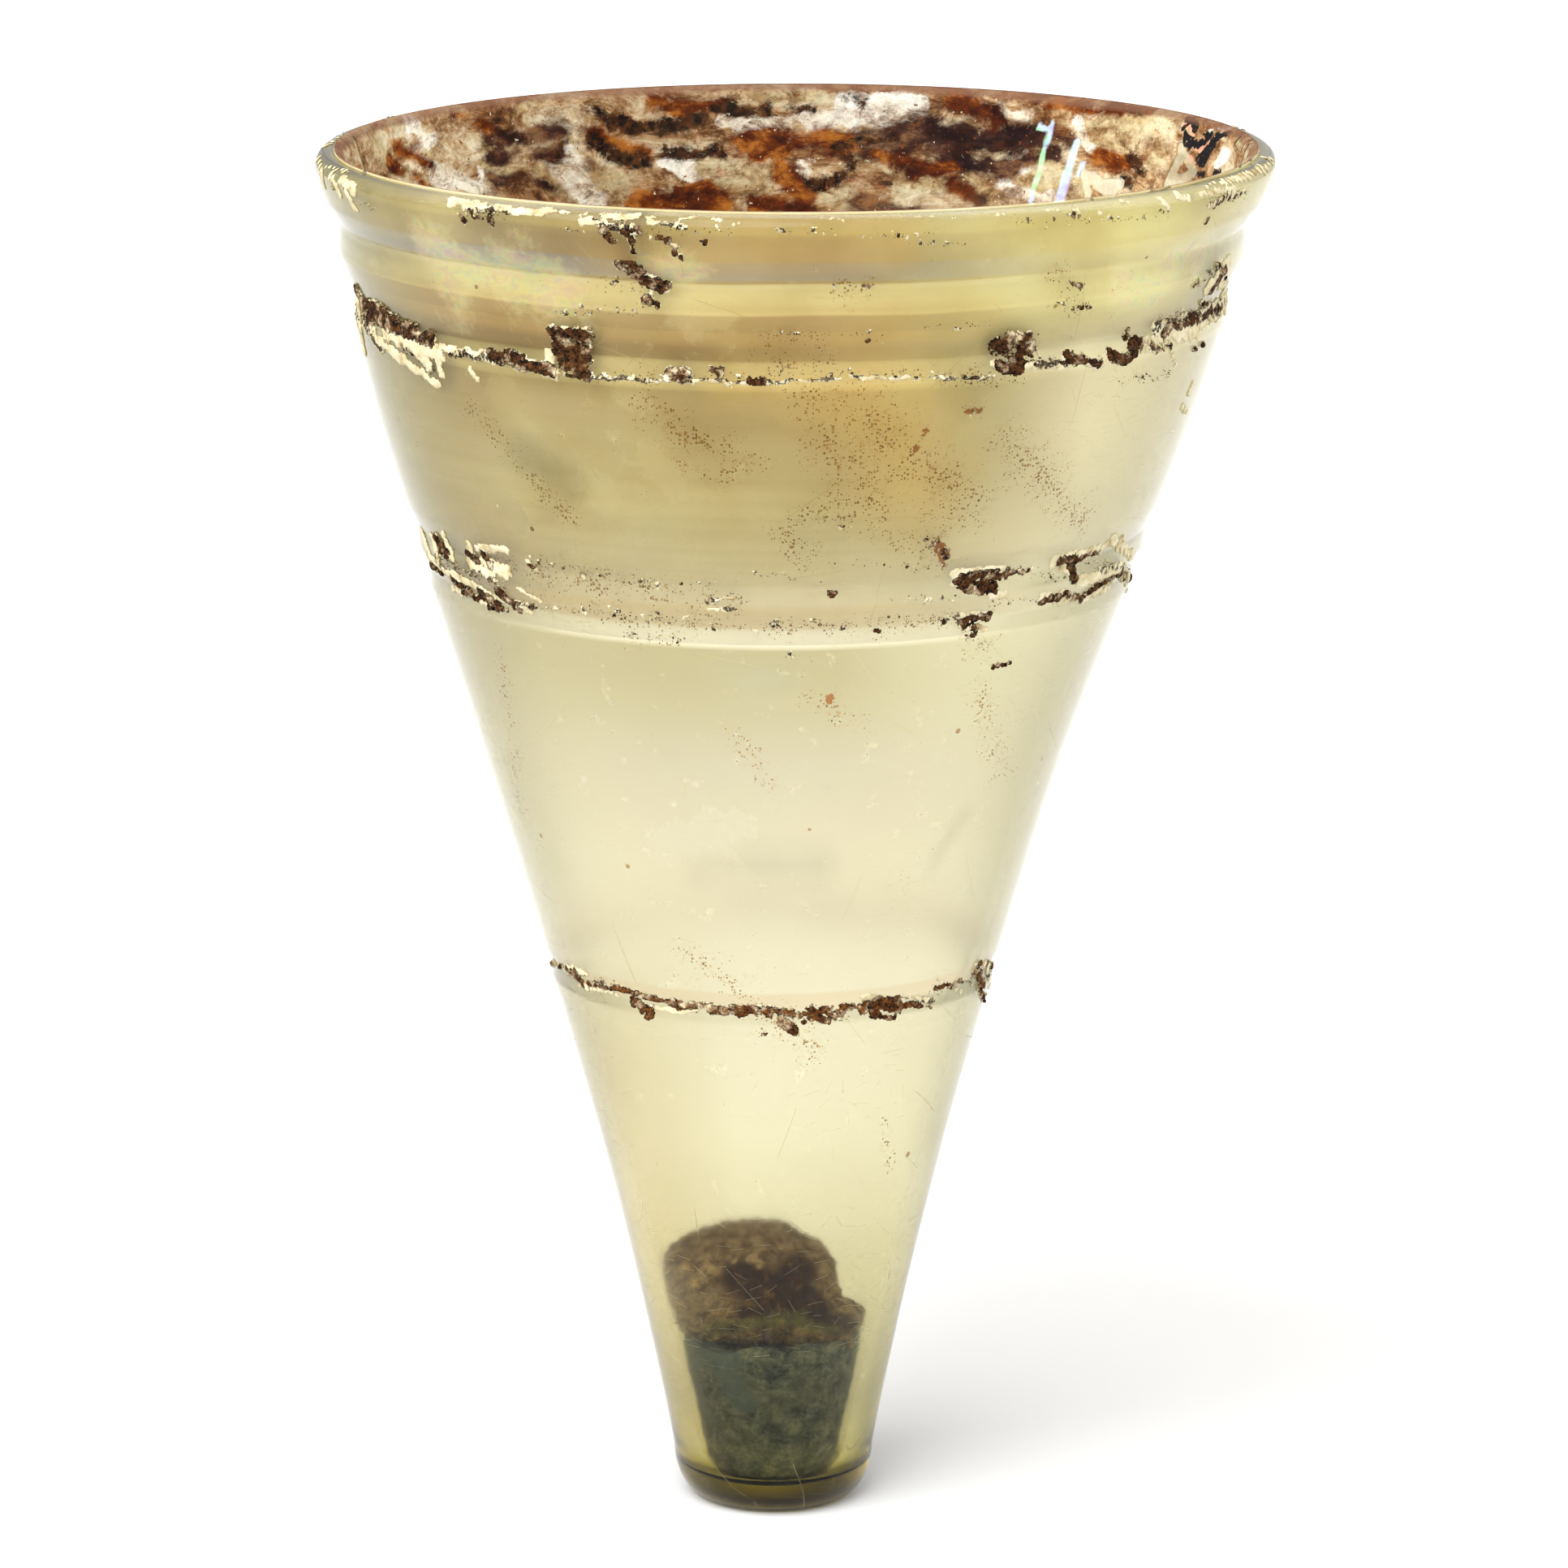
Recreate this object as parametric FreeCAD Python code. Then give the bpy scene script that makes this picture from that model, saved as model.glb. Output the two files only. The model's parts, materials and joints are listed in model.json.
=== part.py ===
"""Conical cut-glass beaker with wheel-cut bands, burial crust and a plug of dried silt."""
import FreeCAD, Part
import math
import os

# Overall form of the beaker, in millimetres
height = 161.5
rim_radius = 55.0
foot_radius = 8.3
heel_radius = 11.9
heel_height = 6.2

# Thickness of the glass
wall = 2.2
lip_thickness = 3.2
floor_thickness = 4.0
hollow_foot_radius = 8.4
hollow_foot_round = 4.0

# Wheel-cut bands, each one a slope that runs in to a flat, from the lip down
lip_face = 3.6
lip_flare = 1.25
lip_cut_slope = 2.5
lip_cut_step = 1.75
lip_cut_flat = 3.5
upper_cut_slope = 4.9
upper_cut_step = 2.1
upper_cut_flat = 2.8
upper_ridge = 0.3
ridge_under = 0.9
ridge_set_back = 0.3

middle_band_height = 111.4
middle_band_radius = 40.5
middle_low_flat = 2.1
middle_low_slope = 2.7
middle_low_step = 1.4
middle_high_flat = 2.2
middle_high_slope = 2.8
middle_high_step = 1.4
middle_flat_taper = 0.1

lower_groove_height = 64.4
lower_groove_radius = 25.9
lower_groove_flat = 1.8
lower_groove_slope = 1.9
lower_groove_step = 0.85

# Bow of the wall between the bands, outward where it is more than zero
upper_wall_bow = 0.2
middle_wall_bow = -0.4
lower_wall_bow = -0.9

# The upper half leans to one side, as hand-worked glass does
lean_height = 88.9
lean_shift = 2.7

# Dried silt in the foot, shrunk away from the glass, with a clod of soil on top
silt_top = 19.5
silt_shrink_gap = 0.4
clod_gap = 0.35
clod_half_length = 10.8
clod_half_width = 9.6
clod_half_height = 7.6
clod_offset = 2.4
clod_sink = 1.2
toe_half_length = 6.2
toe_half_width = 5.2
toe_half_height = 3.4
toe_offset = 5.6
toe_forward = 2.6

# Crust and weathering that sit on the glass
seat_gap = 0.05
film_gap = 0.15
film_thickness = 0.25
rim_crust_thickness = 0.35
groove_crust_thickness = 0.6
cut_reach = 20.0

# Where each deposit starts and ends, as shares of a turn about the axis; 0.75 is the front
rim_crust_turn_shares = (
    (0.444, 0.564), (0.617, 0.675), (0.728, 0.744), (0.775, 0.8), (0.864, 0.994),
    (0.06, 0.11), (0.21, 0.25), (0.33, 0.37),
)
upper_crust_turn_shares = (
    (0.478, 0.597), (0.603, 0.672), (0.728, 0.764), (0.822, 0.847), (0.856, 0.903),
    (0.911, 1.022), (0.1, 0.15), (0.24, 0.33),
)
middle_crust_turn_shares = (
    (0.489, 0.528), (0.556, 0.633), (0.728, 0.811), (0.825, 0.861), (0.881, 0.919),
    (0.928, 0.994), (0.08, 0.14), (0.3, 0.37),
)
lower_crust_turn_shares = (
    (0.517, 0.556), (0.564, 0.6), (0.606, 0.764), (0.769, 0.85), (0.875, 0.908),
    (0.931, 0.989), (0.09, 0.28), (0.34, 0.42),
)

# How far round the lip the crust and the film reach, as shares of a turn from its outside
rim_crust_end_share = 0.27
film_end_share = 0.3

# How far a deposit covers the flat below a groove's corner and the slope above it
flat_cover_share = 0.7
slope_cover_share = 0.5
crust_belly_share = 0.8

# Where the round of the heel and of the hollow's floor passes its middle
heel_round_share = 0.3
floor_round_share = 0.22

# Levels worked out from the sizes above
lip_round = lip_thickness / 2
lip_centre_radius = rim_radius - lip_round
lip_widest_height = height - lip_round
lip_edge_height = lip_widest_height - lip_face
lip_edge_radius = rim_radius - lip_flare
lip_corner_height = lip_edge_height - lip_cut_slope
lip_corner_radius = lip_edge_radius - lip_cut_step
upper_edge_height = lip_corner_height - lip_cut_flat
upper_corner_height = upper_edge_height - upper_cut_slope
upper_corner_radius = lip_corner_radius - upper_cut_step
ridge_height = upper_corner_height - upper_cut_flat
ridge_radius = upper_corner_radius + upper_ridge
upper_band_height = ridge_height - ridge_under
upper_band_radius = ridge_radius - ridge_set_back

middle_low_corner_height = middle_band_height + middle_low_flat
middle_low_corner_radius = middle_band_radius + middle_flat_taper
middle_high_foot_height = middle_low_corner_height + middle_low_slope
middle_high_foot_radius = middle_low_corner_radius + middle_low_step
middle_high_corner_height = middle_high_foot_height + middle_high_flat
middle_high_corner_radius = middle_high_foot_radius + middle_flat_taper
middle_top_height = middle_high_corner_height + middle_high_slope
middle_top_radius = middle_high_corner_radius + middle_high_step

lower_corner_height = lower_groove_height + lower_groove_flat
lower_top_height = lower_corner_height + lower_groove_slope
lower_top_radius = lower_groove_radius + lower_groove_step
hollow_foot_height = floor_thickness + hollow_foot_round


def point(radius, level):
    """A point of the outline, on the XZ plane."""
    return FreeCAD.Vector(radius, 0, level)


def bowed(low, high, bow):
    """Wall between two outline points, bowed sideways at its middle."""
    middle = (low + high) * 0.5 + point(bow, 0)
    return Part.Arc(low, middle, high).toShape()


def chain(points):
    """Straight edges through the points in turn."""
    return [Part.makeLine(a, b) for a, b in zip(points, points[1:])]


def spun(edges, first=0, last=1):
    """Solid swept by a closed outline about the axis, between two shares of a turn."""
    face = Part.Face(Part.Wire(edges))
    face.rotate(FreeCAD.Vector(), FreeCAD.Vector(0, 0, 1), 360 * first)
    return face.revolve(FreeCAD.Vector(), FreeCAD.Vector(0, 0, 1), 360 * (last - first))


def leaned(solid):
    """Slide each level above lean_height sideways in proportion to its rise."""
    shear = lean_shift / (height - lean_height)
    matrix = FreeCAD.Matrix(1, 0, shear, -shear * lean_height, 0, 1, 0, 0, 0, 0, 1, 0)
    return solid.transformGeometry(matrix)


def slab(low, high):
    """Wide round slab between two levels, for trimming."""
    reach = rim_radius + cut_reach
    return Part.makeCylinder(reach, high - low, point(0, low))


def outer_wall():
    """Edges of the outside, from the middle of the foot up to the widest point of the lip."""
    foot = point(foot_radius, 0)
    heel = point(heel_radius, heel_height)
    heel_reach = (heel_radius - foot_radius) * heel_round_share
    heel_middle = point(heel_radius - heel_reach, heel_height * heel_round_share)
    lower_foot = point(lower_groove_radius, lower_groove_height)
    lower_top = point(lower_top_radius, lower_top_height)
    middle_foot = point(middle_band_radius, middle_band_height)
    middle_top = point(middle_top_radius, middle_top_height)
    upper_foot = point(upper_band_radius, upper_band_height)
    edges = chain([point(0, 0), foot])
    edges.append(Part.Arc(foot, heel_middle, heel).toShape())
    edges.append(bowed(heel, lower_foot, lower_wall_bow))
    edges += chain([lower_foot, point(lower_groove_radius, lower_corner_height), lower_top])
    edges.append(bowed(lower_top, middle_foot, middle_wall_bow))
    edges += chain([
        middle_foot,
        point(middle_low_corner_radius, middle_low_corner_height),
        point(middle_high_foot_radius, middle_high_foot_height),
        point(middle_high_corner_radius, middle_high_corner_height),
        middle_top,
    ])
    edges.append(bowed(middle_top, upper_foot, upper_wall_bow))
    edges += chain([
        upper_foot,
        point(ridge_radius, ridge_height),
        point(upper_corner_radius, upper_corner_height),
        point(lip_corner_radius, upper_edge_height),
        point(lip_corner_radius, lip_corner_height),
        point(lip_edge_radius, lip_edge_height),
        point(rim_radius, lip_widest_height),
    ])
    return edges


def inner_stations(gap=0):
    """Points of the inside from the rounded floor to the lip, moved in by a gap."""
    return [
        point(hollow_foot_radius - gap, hollow_foot_height),
        point(lower_groove_radius - wall - gap, lower_groove_height),
        point(middle_band_radius - wall - gap, middle_band_height),
        point(middle_top_radius - wall - gap, middle_top_height),
        point(upper_band_radius - wall - gap, upper_band_height),
        point(rim_radius - lip_thickness - gap, lip_widest_height),
    ]


def inner_wall(gap=0, seat=0):
    """Edges of the inside, from the middle of the floor up to the lip."""
    foot, lower, middle, middle_top, upper, lip = inner_stations(gap)
    floor = point(0, floor_thickness + seat)
    belly = point(hollow_foot_round, -hollow_foot_round) * floor_round_share
    floor_side = (floor + foot) * 0.5 + belly
    edges = [Part.Arc(floor, floor_side, foot).toShape()]
    edges.append(bowed(foot, lower, lower_wall_bow))
    edges.append(bowed(lower, middle, middle_wall_bow))
    edges += chain([middle, middle_top])
    edges.append(bowed(middle_top, upper, upper_wall_bow))
    edges += chain([upper, lip])
    return edges


def glass_body():
    """Thick-walled cone of glass with its foot, cut bands and rounded lip."""
    crest = point(lip_centre_radius, height)
    lip_outer = point(rim_radius, lip_widest_height)
    lip_inner = point(rim_radius - lip_thickness, lip_widest_height)
    lip = Part.Arc(lip_outer, crest, lip_inner).toShape()
    axis = Part.makeLine(point(0, floor_thickness), point(0, 0))
    edges = outer_wall() + [lip] + list(reversed(inner_wall())) + [axis]
    whole = spun(Part.__sortEdges__(edges))
    lower = whole.common(slab(-cut_reach, lean_height))
    upper = whole.common(slab(lean_height, height + cut_reach))
    return lower.fuse(leaned(upper))


def hollow(gap, seat):
    """Solid that fills the inside up to the lip, short of the glass by a gap."""
    top = inner_stations(gap)[-1]
    closing = chain([top, point(0, lip_widest_height), point(0, floor_thickness + seat)])
    return spun(Part.__sortEdges__(inner_wall(gap, seat) + closing))


def silt_fill():
    """Plug of dried silt that stands on the floor of the hollow."""
    return hollow(silt_shrink_gap, seat_gap).common(slab(0, silt_top))


def lump(half_length, half_width, half_height, centre):
    """Egg-shaped lump about a centre."""
    ball = Part.makeSphere(half_length)
    matrix = FreeCAD.Matrix()
    matrix.scale(1, half_width / half_length, half_height / half_length)
    ball = ball.transformGeometry(matrix)
    ball.translate(centre)
    return ball


def soil_clod():
    """Clod of soil that lies on the silt and leans on the glass to one side."""
    level = silt_top + seat_gap
    body_centre = FreeCAD.Vector(-clod_offset, 0, level + clod_half_height - clod_sink)
    toe_centre = FreeCAD.Vector(toe_offset, -toe_forward, level + toe_half_height - clod_sink)
    body = lump(clod_half_length, clod_half_width, clod_half_height, body_centre)
    toe = lump(toe_half_length, toe_half_width, toe_half_height, toe_centre)
    room = hollow(clod_gap, seat_gap).common(slab(level, lip_edge_height))
    return body.fuse(toe).common(room)


def lip_arc(gap, first_share, last_share):
    """Arc round the lip, clear of the glass by a gap, between two shares of a turn."""
    centre = point(lip_centre_radius, lip_widest_height)
    turns = [2 * math.pi * share for share in (first_share, (first_share + last_share) / 2, last_share)]
    places = [centre + point(math.cos(turn), math.sin(turn)) * (lip_round + gap) for turn in turns]
    return Part.Arc(*places).toShape()


def inner_weathering():
    """Weathered skin on the inside of the glass, from the middle band up and over the inner lip."""
    edges = []
    ends = []
    for gap in (film_gap, film_gap + film_thickness):
        foot, middle_top, upper, lip = inner_stations(gap)[2:]
        round_lip = lip_arc(gap, film_end_share, 0.5)
        edges += chain([foot, middle_top])
        edges.append(bowed(middle_top, upper, upper_wall_bow))
        edges += chain([upper, lip])
        edges.append(round_lip)
        ends += [foot, round_lip.firstVertex().Point]
    edges += [Part.makeLine(ends[0], ends[2]), Part.makeLine(ends[1], ends[3])]
    return leaned(spun(Part.__sortEdges__(edges)))


def rim_crust():
    """Patches of pale crust that ride over the outside of the rounded lip."""
    low = lip_arc(seat_gap, 0, rim_crust_end_share)
    high = lip_arc(seat_gap + rim_crust_thickness, 0, rim_crust_end_share)
    starts = Part.makeLine(low.firstVertex().Point, high.firstVertex().Point)
    ends = Part.makeLine(low.lastVertex().Point, high.lastVertex().Point)
    edges = Part.__sortEdges__([low, high, starts, ends])
    return Part.makeCompound([leaned(spun(edges, *span)) for span in rim_crust_turn_shares])


def crust_outline(flat_foot, corner, slope_top):
    """Closed outline of a deposit in the corner of a cut, clear of the glass by seat_gap."""
    clear = point(seat_gap, 0)
    low = corner + (flat_foot - corner) * flat_cover_share + clear
    high = corner + (slope_top - corner) * slope_cover_share + clear
    belly = (low + high) * 0.5 + point(groove_crust_thickness * crust_belly_share, 0)
    back = corner + clear
    return chain([back, low, belly, high, back])


def groove_deposits(outline, spans):
    """One piece of crust for each span of the turn."""
    return [spun(outline, *span) for span in spans]


def upper_groove_crust():
    """Dark and cream crust in the deep cut below the lip band."""
    outline = crust_outline(
        point(ridge_radius, ridge_height),
        point(upper_corner_radius, upper_corner_height),
        point(lip_corner_radius, upper_edge_height),
    )
    return leaned(Part.makeCompound(groove_deposits(outline, upper_crust_turn_shares)))


def middle_groove_crust():
    """Crust in the lower cut of the middle band."""
    outline = crust_outline(
        point(middle_band_radius, middle_band_height),
        point(middle_low_corner_radius, middle_low_corner_height),
        point(middle_high_foot_radius, middle_high_foot_height),
    )
    return leaned(Part.makeCompound(groove_deposits(outline, middle_crust_turn_shares)))


def lower_groove_crust():
    """Dark crust that almost rings the lower groove."""
    outline = crust_outline(
        point(lower_groove_radius, lower_groove_height),
        point(lower_groove_radius, lower_corner_height),
        point(lower_top_radius, lower_top_height),
    )
    return Part.makeCompound(groove_deposits(outline, lower_crust_turn_shares))


nodes = {
    "glass_body": glass_body,
    "inner_weathering": inner_weathering,
    "rim_crust": rim_crust,
    "upper_groove_crust": upper_groove_crust,
    "middle_groove_crust": middle_groove_crust,
    "lower_groove_crust": lower_groove_crust,
    "silt_fill": silt_fill,
    "soil_clod": soil_clod,
}

os.makedirs("parts", exist_ok=True)
for name, make in nodes.items():
    make().exportStep(f"parts/{name}.step")
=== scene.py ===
import json
import random
from math import cos, pi, radians, sin

import bpy
import numpy as np
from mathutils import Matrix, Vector
from mathutils.bvhtree import BVHTree
from mathutils.noise import noise_vector, seed_set

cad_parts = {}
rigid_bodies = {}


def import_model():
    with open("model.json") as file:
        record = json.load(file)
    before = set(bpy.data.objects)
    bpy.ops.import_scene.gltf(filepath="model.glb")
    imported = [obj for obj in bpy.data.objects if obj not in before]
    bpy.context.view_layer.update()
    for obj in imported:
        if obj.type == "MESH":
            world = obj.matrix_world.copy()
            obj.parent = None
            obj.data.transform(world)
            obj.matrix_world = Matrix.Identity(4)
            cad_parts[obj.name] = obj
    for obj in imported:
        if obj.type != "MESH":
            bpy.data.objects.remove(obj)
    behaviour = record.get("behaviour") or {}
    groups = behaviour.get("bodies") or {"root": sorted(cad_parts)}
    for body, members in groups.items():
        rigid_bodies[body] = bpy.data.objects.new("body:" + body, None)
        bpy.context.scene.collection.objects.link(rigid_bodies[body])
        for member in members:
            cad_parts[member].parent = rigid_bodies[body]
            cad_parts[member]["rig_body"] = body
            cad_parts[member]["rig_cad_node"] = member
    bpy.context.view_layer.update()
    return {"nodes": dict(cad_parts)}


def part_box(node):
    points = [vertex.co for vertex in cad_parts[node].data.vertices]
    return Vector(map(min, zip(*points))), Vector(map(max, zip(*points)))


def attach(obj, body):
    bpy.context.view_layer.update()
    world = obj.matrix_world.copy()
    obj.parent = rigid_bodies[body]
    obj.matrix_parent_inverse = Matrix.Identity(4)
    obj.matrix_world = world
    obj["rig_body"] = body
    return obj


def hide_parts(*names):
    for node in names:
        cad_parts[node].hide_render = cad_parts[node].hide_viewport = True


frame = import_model()
mm = 0.001

# The beaker itself is one thick bubble of pale yellow-green glass, opened out to a cone and
# left to lean a little. A wheel then cut the slopes and flats of the three bands and the lip.
# Its inside is frosted by long burial, its outside finely scratched, its foot solid and olive.
box_low, box_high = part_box("glass_body")
height = box_high.z
rim_radius = (box_high.y - box_low.y) / 2
foot_radius, heel_radius, heel_height = 8.3 * mm, 11.9 * mm, 6.2 * mm
wall, lip_thickness, floor_thickness = 2.2 * mm, 3.2 * mm, 3.0 * mm
hollow_foot_radius, hollow_foot_round = 8.4 * mm, 1.4 * mm
lip_round = lip_thickness / 2
lip_level = height - lip_round
lip_edge = (rim_radius - 1.25 * mm, lip_level - 3.6 * mm)
lip_corner = (lip_edge[0] - 1.75 * mm, lip_edge[1] - 2.5 * mm)
upper_edge = (lip_corner[0], lip_corner[1] - 3.5 * mm)
upper_corner = (upper_edge[0] - 2.1 * mm, upper_edge[1] - 4.9 * mm)
ridge = (upper_corner[0] + 0.3 * mm, upper_corner[1] - 2.8 * mm)
upper_foot = (ridge[0] - 0.3 * mm, ridge[1] - 0.9 * mm)
middle_foot = (40.5 * mm, 111.4 * mm)
middle_low_corner = (middle_foot[0] + 0.1 * mm, middle_foot[1] + 2.1 * mm)
middle_ridge = (middle_low_corner[0] + 1.4 * mm, middle_low_corner[1] + 2.7 * mm)
middle_high_corner = (middle_ridge[0] + 0.1 * mm, middle_ridge[1] + 2.2 * mm)
middle_top = (middle_high_corner[0] + 1.4 * mm, middle_high_corner[1] + 2.8 * mm)
lower_foot = (25.9 * mm, 64.4 * mm)
lower_corner = (lower_foot[0], lower_foot[1] + 1.8 * mm)
lower_top = (lower_foot[0] + 0.85 * mm, lower_corner[1] + 1.9 * mm)
upper_bow, middle_bow, lower_bow = 0.2 * mm, -0.4 * mm, -0.9 * mm
lean_level, lean_shift = 88.9 * mm, 2.7 * mm
cut_softness = 0.3 * mm


def bowed(low, high, bow, steps=22):
    """Points of the wall from low to high, bowed sideways at the middle."""
    shares = np.linspace(0, 1, steps)
    return [(low[0] + (high[0] - low[0]) * s + 4 * bow * s * (1 - s), low[1] + (high[1] - low[1]) * s)
            for s in shares]


def softened(points, softness):
    """The outline with each corner worn round, as a wheel-cut edge is after long use."""
    worn = [points[0]]
    for before, corner, after in zip(points, points[1:], points[2:]):
        before, corner, after = (np.array(p) for p in (before, corner, after))
        run_in, run_out = before - corner, after - corner
        bend = run_in[0] * run_out[1] - run_in[1] * run_out[0]
        if abs(bend) < 0.06 * np.linalg.norm(run_in) * np.linalg.norm(run_out):
            worn.append(tuple(corner))
            continue
        start = corner + run_in * min(0.45, softness / max(np.linalg.norm(run_in), 1e-9))
        end = corner + run_out * min(0.45, softness / max(np.linalg.norm(run_out), 1e-9))
        for s in (0, 0.33, 0.67, 1):
            worn.append(tuple(start * (1 - s) ** 2 + corner * 2 * s * (1 - s) + end * s ** 2))
    return worn + [points[-1]]


def heel_outline(steps=8):
    """Quarter-round heel from the flat of the foot up to the wall."""
    turns = [pi / 2 * step / steps for step in range(steps + 1)]
    reach = heel_radius - foot_radius
    return [(foot_radius + reach * sin(turn), heel_height * (1 - cos(turn))) for turn in turns]


def lip_outline(grow=0.0, start=0.0, end=pi, steps=14):
    """Half-round of the lip from its outside over the crest to its inside."""
    turns = np.linspace(start, end, steps)
    reach = lip_round + grow
    return [(rim_radius - lip_round + reach * cos(turn), lip_level + reach * sin(turn)) for turn in turns]


lower_band = [lower_foot, lower_corner, lower_top]
middle_band = [middle_foot, middle_low_corner, middle_ridge, middle_high_corner, middle_top]
upper_band = [upper_foot, ridge, upper_corner, upper_edge, lip_corner, lip_edge]
outside = ([(0, 0)] + heel_outline() + softened(
    bowed((heel_radius, heel_height), lower_foot, lower_bow)[1:-1] + lower_band
    + bowed(lower_top, middle_foot, middle_bow)[1:-1] + middle_band
    + bowed(middle_top, upper_foot, upper_bow)[1:-1] + upper_band + lip_outline()[:1], cut_softness))


def inside_wall(gap=0.0):
    """Inside of the glass from the edge of the floor up to the lip, moved in by a gap."""
    floor_edge = (hollow_foot_radius - gap, floor_thickness + hollow_foot_round)
    lower, middle, middle_end, upper = (
        (radius - wall - gap, level) for radius, level in (lower_foot, middle_foot, middle_top, upper_foot))
    lip = (rim_radius - lip_thickness - gap, lip_level)
    return (bowed(floor_edge, lower, lower_bow) + bowed(lower, middle, middle_bow)[1:]
            + bowed(middle_end, upper, upper_bow) + bowed(upper, lip, 0)[1:])


def floor_outline(gap=0.0, steps=8):
    """Rounded floor of the hollow from its middle out to the wall."""
    turns = [pi / 2 * step / steps for step in range(steps)]
    reach = hollow_foot_radius - gap
    return [(reach * sin(turn), floor_thickness + gap + (hollow_foot_round - gap) * (1 - cos(turn)))
            for turn in turns]


inside = floor_outline() + inside_wall()


def add(tree, kind, inputs=None, **settings):
    """Place a node with its settings, each input a value or a socket to link."""
    node = tree.nodes.new(kind)
    for name, value in settings.items():
        setattr(node, name, value)
    for socket, value in (inputs or {}).items():
        if isinstance(value, bpy.types.NodeSocket):
            tree.links.new(value, node.inputs[socket])
        else:
            node.inputs[socket].default_value = value
    return node


def made(tree, kind, inputs=None, **settings):
    """First output of a node placed with its settings and inputs."""
    return add(tree, kind, inputs, **settings).outputs[0]


def tree_of(*values):
    """The node tree that holds the first socket among the values."""
    return next(value.id_data for value in values if isinstance(value, bpy.types.NodeSocket))


def maths(operation, *values, clamp=False):
    """Output of one math node on sockets or numbers."""
    return made(tree_of(*values), "ShaderNodeMath", dict(enumerate(values)),
                operation=operation, use_clamp=clamp)


def times(first, second, clamp=False):
    """One socket or number times another."""
    return maths("MULTIPLY", first, second, clamp=clamp)


def swung(value, reach, middle=0.5):
    """A value counted from its middle and stretched to a reach."""
    return times(maths("SUBTRACT", value, middle), reach)


def moved(operation, *vectors, output=0):
    """Output of one vector math node on sockets or vectors."""
    return add(tree_of(*vectors), "ShaderNodeVectorMath", dict(enumerate(vectors)),
               operation=operation).outputs[output]


def scaled(vector, share):
    """A vector or colour times a number."""
    return made(tree_of(vector, share), "ShaderNodeVectorMath", {0: vector, "Scale": share},
                operation="SCALE")


def axis_of(place, axis):
    """One axis of a place."""
    return add(place.id_data, "ShaderNodeSeparateXYZ", {0: place}).outputs[axis]


def new_group(name, group_kind, inputs, output, output_kind):
    """A node group with its named inputs and its one output, and the sockets that it is given."""
    group = bpy.data.node_groups.new(name, group_kind)
    for socket, kind in inputs:
        group.interface.new_socket(socket, in_out="INPUT", socket_type=f"NodeSocket{kind}")
    group.interface.new_socket(output, in_out="OUTPUT", socket_type=f"NodeSocket{output_kind}")
    return group, add(group, "NodeGroupInput").outputs


def kept(tree, name, kind="FLOAT"):
    """The value that a shape's points keep under a name."""
    return made(tree, "GeometryNodeInputNamedAttribute", {"Name": name}, data_type=kind)


def stored(shape, name, value, kind="FLOAT"):
    """The shape with a value kept under a name on its points."""
    return made(shape.id_data, "GeometryNodeStoreNamedAttribute",
                {"Geometry": shape, "Name": name, "Value": value}, data_type=kind, domain="POINT")


def sampled(shape, value, index, kind="FLOAT"):
    """The value at the shape's point with that index."""
    return made(shape.id_data, "GeometryNodeSampleIndex",
                {"Geometry": shape, "Value": value, "Index": index}, data_type=kind)


def handed_out(shape, finish, output):
    """The tree of the shape, once it hands the shape out as a real mesh with its finish."""
    real = made(shape.id_data, "GeometryNodeRealizeInstances", {"Geometry": shape})
    dressed = made(shape.id_data, "GeometryNodeSetMaterial", {"Geometry": real, "Material": finish})
    add(shape.id_data, "NodeGroupOutput", {output: dressed})
    return shape.id_data


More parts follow.
